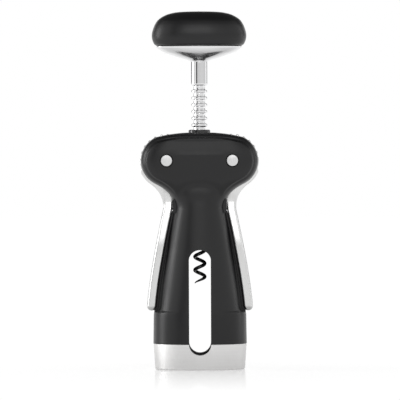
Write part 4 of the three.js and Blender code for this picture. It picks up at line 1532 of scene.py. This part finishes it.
@dataclass
class Knob:
    """The knob: a flared oval base, a rigid insert with its screw, and the soft grip over them."""

    half_width: float = float(high("knob_grip")[0])
    half_depth: float = float(high("knob_grip")[1])
    rim_half_width: float = float(high("knob_core")[0])
    rim_half_depth: float = float(high("knob_core")[1])
    shank: float = 4.95
    flare: float = 9.0
    wall: float = 4.5
    power: float = 2.35
    around: int = 160
    swell: tuple = (
        (0.0, 0.92),
        (0.06, 0.955),
        (0.17, 0.988),
        (0.29, 1.0),
        (0.4, 0.99),
        (0.52, 0.965),
        (0.64, 0.925),
        (0.76, 0.86),
        (0.87, 0.74),
        (0.94, 0.6),
        (0.985, 0.38),
        (1.0, 0.0),
    )
    sweep: tuple = (
        (0, 0),
        (0.05, 0.02),
        (0.15, 0.14),
        (0.26, 0.315),
        (0.4, 0.515),
        (0.61, 0.775),
        (0.86, 0.965),
        (0.96, 1),
        (1, 0.99),
    )

    def grip_rows(self, inset: float) -> np.ndarray:
        """Rows of the grip: its swell at each share of its height, bunched towards the top."""
        share = np.sin(np.linspace(0, np.pi / 2, 64))
        out = np.maximum(through(self.swell, share), 0.0)
        out[-1] = 0.02
        top = PLAN.grip_top - PLAN.grip_foot - inset
        z = PLAN.grip_foot + top * share
        a = np.maximum(self.half_width * out - inset, 0.3)
        b = np.maximum(self.half_depth * out - inset, 0.2)
        return oval_rows(z, a, b, np.full(len(z), self.power), self.around)

    def grip(self) -> bpy.types.Object:
        """The grip: its swell with an eased lower rim, hollowed for the insert."""
        rows = self.grip_rows(0)
        rim = rows[:1].copy()
        rim[..., :2] *= 0.985
        rows[0, :, 2] += 0.3
        made = skin("soft_grip", np.concatenate([rim, rows]))
        inner = self.grip_rows(self.wall)[:52]
        inner[0, :, 2] -= 1
        return combine(made, [skin("hollow", inner)])

    def insert(self) -> bpy.types.Object:
        """The rigid insert inside the grip, with a bore for the base's boss and screw."""
        rows = self.grip_rows(self.wall + 0.15)[:50]
        foot = PLAN.grip_foot + 7.2
        bore = rounded([(0, 150, 0), (6.15, 150, 0), (6.15, foot, 0), (0, foot, 0)])
        return combine(skin("insert_of_grip", rows), [revolve("bore", bore)])

    def base(self) -> bpy.types.Object:
        """The flared base: a shallow sweep from the shank to a thin eased rim, closed by a flat top."""
        up = np.concatenate([np.linspace(0, 0.88, 40), np.linspace(0.9, 1.0, 8)])
        out = np.clip(through(self.sweep, up), 0, 1)
        z = PLAN.shoulder + self.flare * up
        a = self.shank + (self.rim_half_width - self.shank) * out
        b = self.shank + (self.rim_half_depth - self.shank) * out
        made = skin("flared_base", oval_rows(z, a, b, 2 + 0.4 * out, self.around))
        top = PLAN.shoulder + self.flare
        combine(made, [post("boss", 6, top - 1, top + 3, (0, 0.4))], Cut.JOIN)
        foot = PLAN.shoulder
        stub = post("stub", 3.6, foot - 1, foot + 6.3)
        return combine(made, [stub, post("hole", 1.4, foot, top + 9, sides=48)])

    def screw(self) -> bpy.types.Object:
        """The screw through the base into the rack, head up."""
        start, stop = low("knob_screw"), high("knob_screw")
        foot, top, head = start[2], stop[2], stop[0]
        seat = top - 2.2
        profile = rounded(
            [(0, foot, 0), (1.25, foot, 0.3), (1.25, seat, 0), (head, seat, 0), (head, top, 0.4), (0, top, 0)]
        )
        return revolve("screw_of_knob", profile, 48)

    def build(self) -> None:
        """Builds and dresses the knob's pieces."""
        SOFT_TOUCH.dress(self.grip(), "screw", "knob_grip")
        HARD_BLACK.dress(self.insert(), "screw", "grip_insert")
        FLARE_STEEL.dress(self.base(), "screw", "knob_core")
        PIN_STEEL.dress(self.screw(), "screw", "knob_screw")


# ---- Studio ----------------------------------------------------------------------------------------------


@dataclass
class Studio:
    """A pale floor, soft light from boxes at the sides and above, and a long lens level with the head."""

    distance: float = 2.4
    eye_height: float = 0.12
    aim_height: float = 0.0968
    lens: float = 376.8
    roll: float = 0.2
    white: float = 1.0
    ceiling: float = 0.1
    raised: float = 1.45
    walls: tuple = (
        (-180, 1.0),
        (-140, 1.0),
        (-132, 0.2),
        (-116, 0.2),
        (-108, 0.6),
        (-75, 0.7),
        (-48, 1.0),
        (-42, 0.05),
        (-30, 0.05),
        (-24, 0.66),
        (0, 0.7),
        (40, 0.74),
        (80, 0.7),
        (104, 0.66),
        (112, 0.12),
        (132, 0.15),
        (140, 1.0),
        (180, 1.0),
    )

    def camera(self) -> None:
        """A telephoto camera in front, a little over the middle of the object."""
        data = bpy.data.cameras.new("camera")
        data.lens = self.lens
        data.sensor_width = 36.0
        data.clip_start, data.clip_end = 0.1, 60.0
        made = placed("camera", data)
        made.location = (0.0003, -self.distance, self.eye_height)
        tilt = math.atan2(self.eye_height - self.aim_height, self.distance)
        made.rotation_euler = (math.pi / 2 - tilt, math.radians(self.roll), 0)
        bpy.context.scene.camera = made

    def box_light(self, name: str, place: tuple, size: tuple, power: float) -> None:
        """A rectangular light that faces the object's middle."""
        data = bpy.data.lights.new(name, "AREA")
        data.shape = "RECTANGLE"
        data.size, data.size_y = size
        data.energy = power
        made = placed(name, data)
        made.location = place
        aim = Vector((0, 0, 0.11)) - Vector(place)
        made.rotation_euler = aim.to_track_quat("-Z", "Y").to_euler()

    def surroundings(self) -> None:
        """The room: white to the eye, and to reflections a ring of bright walls with narrow dark gaps.

        The brightness is read by azimuth, from straight behind on the left, over the camera's side, round to
        straight behind on the right, and darkens overhead and up the back wall.
        """
        world = bpy.data.worlds.new("studio")
        bpy.context.scene.world = world
        world.use_nodes = True
        w = Wiring(world.node_tree)
        nodes = world.node_tree.nodes
        direct = w.add("ShaderNodeTexCoord").outputs["Generated"]
        parts = w.add("ShaderNodeSeparateXYZ", {0: direct}).outputs
        azimuth = w.math("ARCTAN2", parts["X"], w.math("MULTIPLY", parts["Y"], -1.0))
        walls = w.add("ShaderNodeValToRGB", {0: w.ramp(azimuth, -math.pi, math.pi)})
        stops = walls.color_ramp.elements
        while len(stops) < len(self.walls):
            stops.new(0.5)
        for stop, (degrees, value) in zip(stops, self.walls):
            stop.position = degrees / 360 + 0.5
            stop.color = (value, value, value, 1)
        overhead = w.ramp(parts["Z"], 0.5, 0.75)
        behind = w.math("MULTIPLY", w.ramp(parts["Z"], 0.16, 0.42), w.ramp(parts["Y"], 0.15, 0.6))
        lift = {0: walls.outputs[0], "Scale": w.ramp(parts["Z"], 0.08, 0.2, (1.0, self.raised))}
        lifted = w.add("ShaderNodeVectorMath", lift, operation="SCALE").outputs[0]
        above = (self.ceiling, self.ceiling, self.ceiling, 1)
        w.put(nodes["Background"].inputs["Color"], w.mix(w.math("MAXIMUM", overhead, behind), lifted, above))
        seen = w.add("ShaderNodeBackground", {"Color": (1, 1, 1, 1), "Strength": self.white}).outputs[0]
        ray = w.add("ShaderNodeLightPath").outputs["Is Camera Ray"]
        pick = w.add("ShaderNodeMixShader", {0: ray, 1: nodes["Background"].outputs[0], 2: seen})
        w.put(nodes["World Output"].inputs["Surface"], pick.outputs[0])

    def floor(self) -> None:
        """A wide pale floor: faintly glossy round the object's foot, and plain white further out."""
        size = 6000.0
        corners = np.array([(-size, -size, 0), (size, -size, 0), (size, size, 0), (-size, size, 0)], float)
        made = mesh_object("floor", corners, [[0, 1, 2, 3]])
        material = bpy.data.materials.new("pale_floor")
        material.use_nodes = True
        w = Wiring(material.node_tree)
        nodes = material.node_tree.nodes
        shader = nodes["Principled BSDF"]
        look = {
            "Base Color": (0.5, 0.5, 0.5, 1),
            "Roughness": 0.06,
            "IOR": 1.075,
            "Emission Color": (1, 1, 1, 1),
            "Emission Strength": 0.32,
        }
        for key, value in look.items():
            w.put(shader.inputs[key], value)
        plain = w.add("ShaderNodeEmission", {"Strength": 1.02}).outputs[0]
        place = w.add("ShaderNodeTexCoord").outputs["Object"]
        reach = w.add("ShaderNodeVectorMath", {0: place}, operation="LENGTH").outputs["Value"]
        pick = w.add("ShaderNodeMixShader", {0: w.ramp(reach, 0.03, 0.24), 1: shader.outputs[0], 2: plain})
        w.put(nodes["Material Output"].inputs["Surface"], pick.outputs[0])
        made.data.materials.append(material)

    def build(self) -> None:
        """Sets up the camera, the lights, the surroundings and the floor."""
        self.camera()
        self.surroundings()
        self.floor()
        self.box_light("left_box", (-1.25, 0.1, 0.3), (0.4, 0.9), 5.2)
        self.box_light("right_box", (1.2, 0.42, 0.3), (0.25, 0.9), 1.2)
        self.box_light("front_top_box", (-0.05, -1.2, 0.66), (0.7, 0.25), 1.3)
        bpy.context.scene.view_settings.view_transform = "Standard"


def main() -> None:
    """Builds the corkscrew's sub-assemblies in order, then the studio."""
    logging.basicConfig(level=logging.INFO, format="%(name)s: %(message)s")
    body = Body()
    body.build()
    Foot(body).build()
    Fasteners().build()
    for side in Side:
        Lever(side, body).build()
    RackAndWorm().build()
    Knob().build()
    Studio().build()


if __name__ == "__main__":
    main()
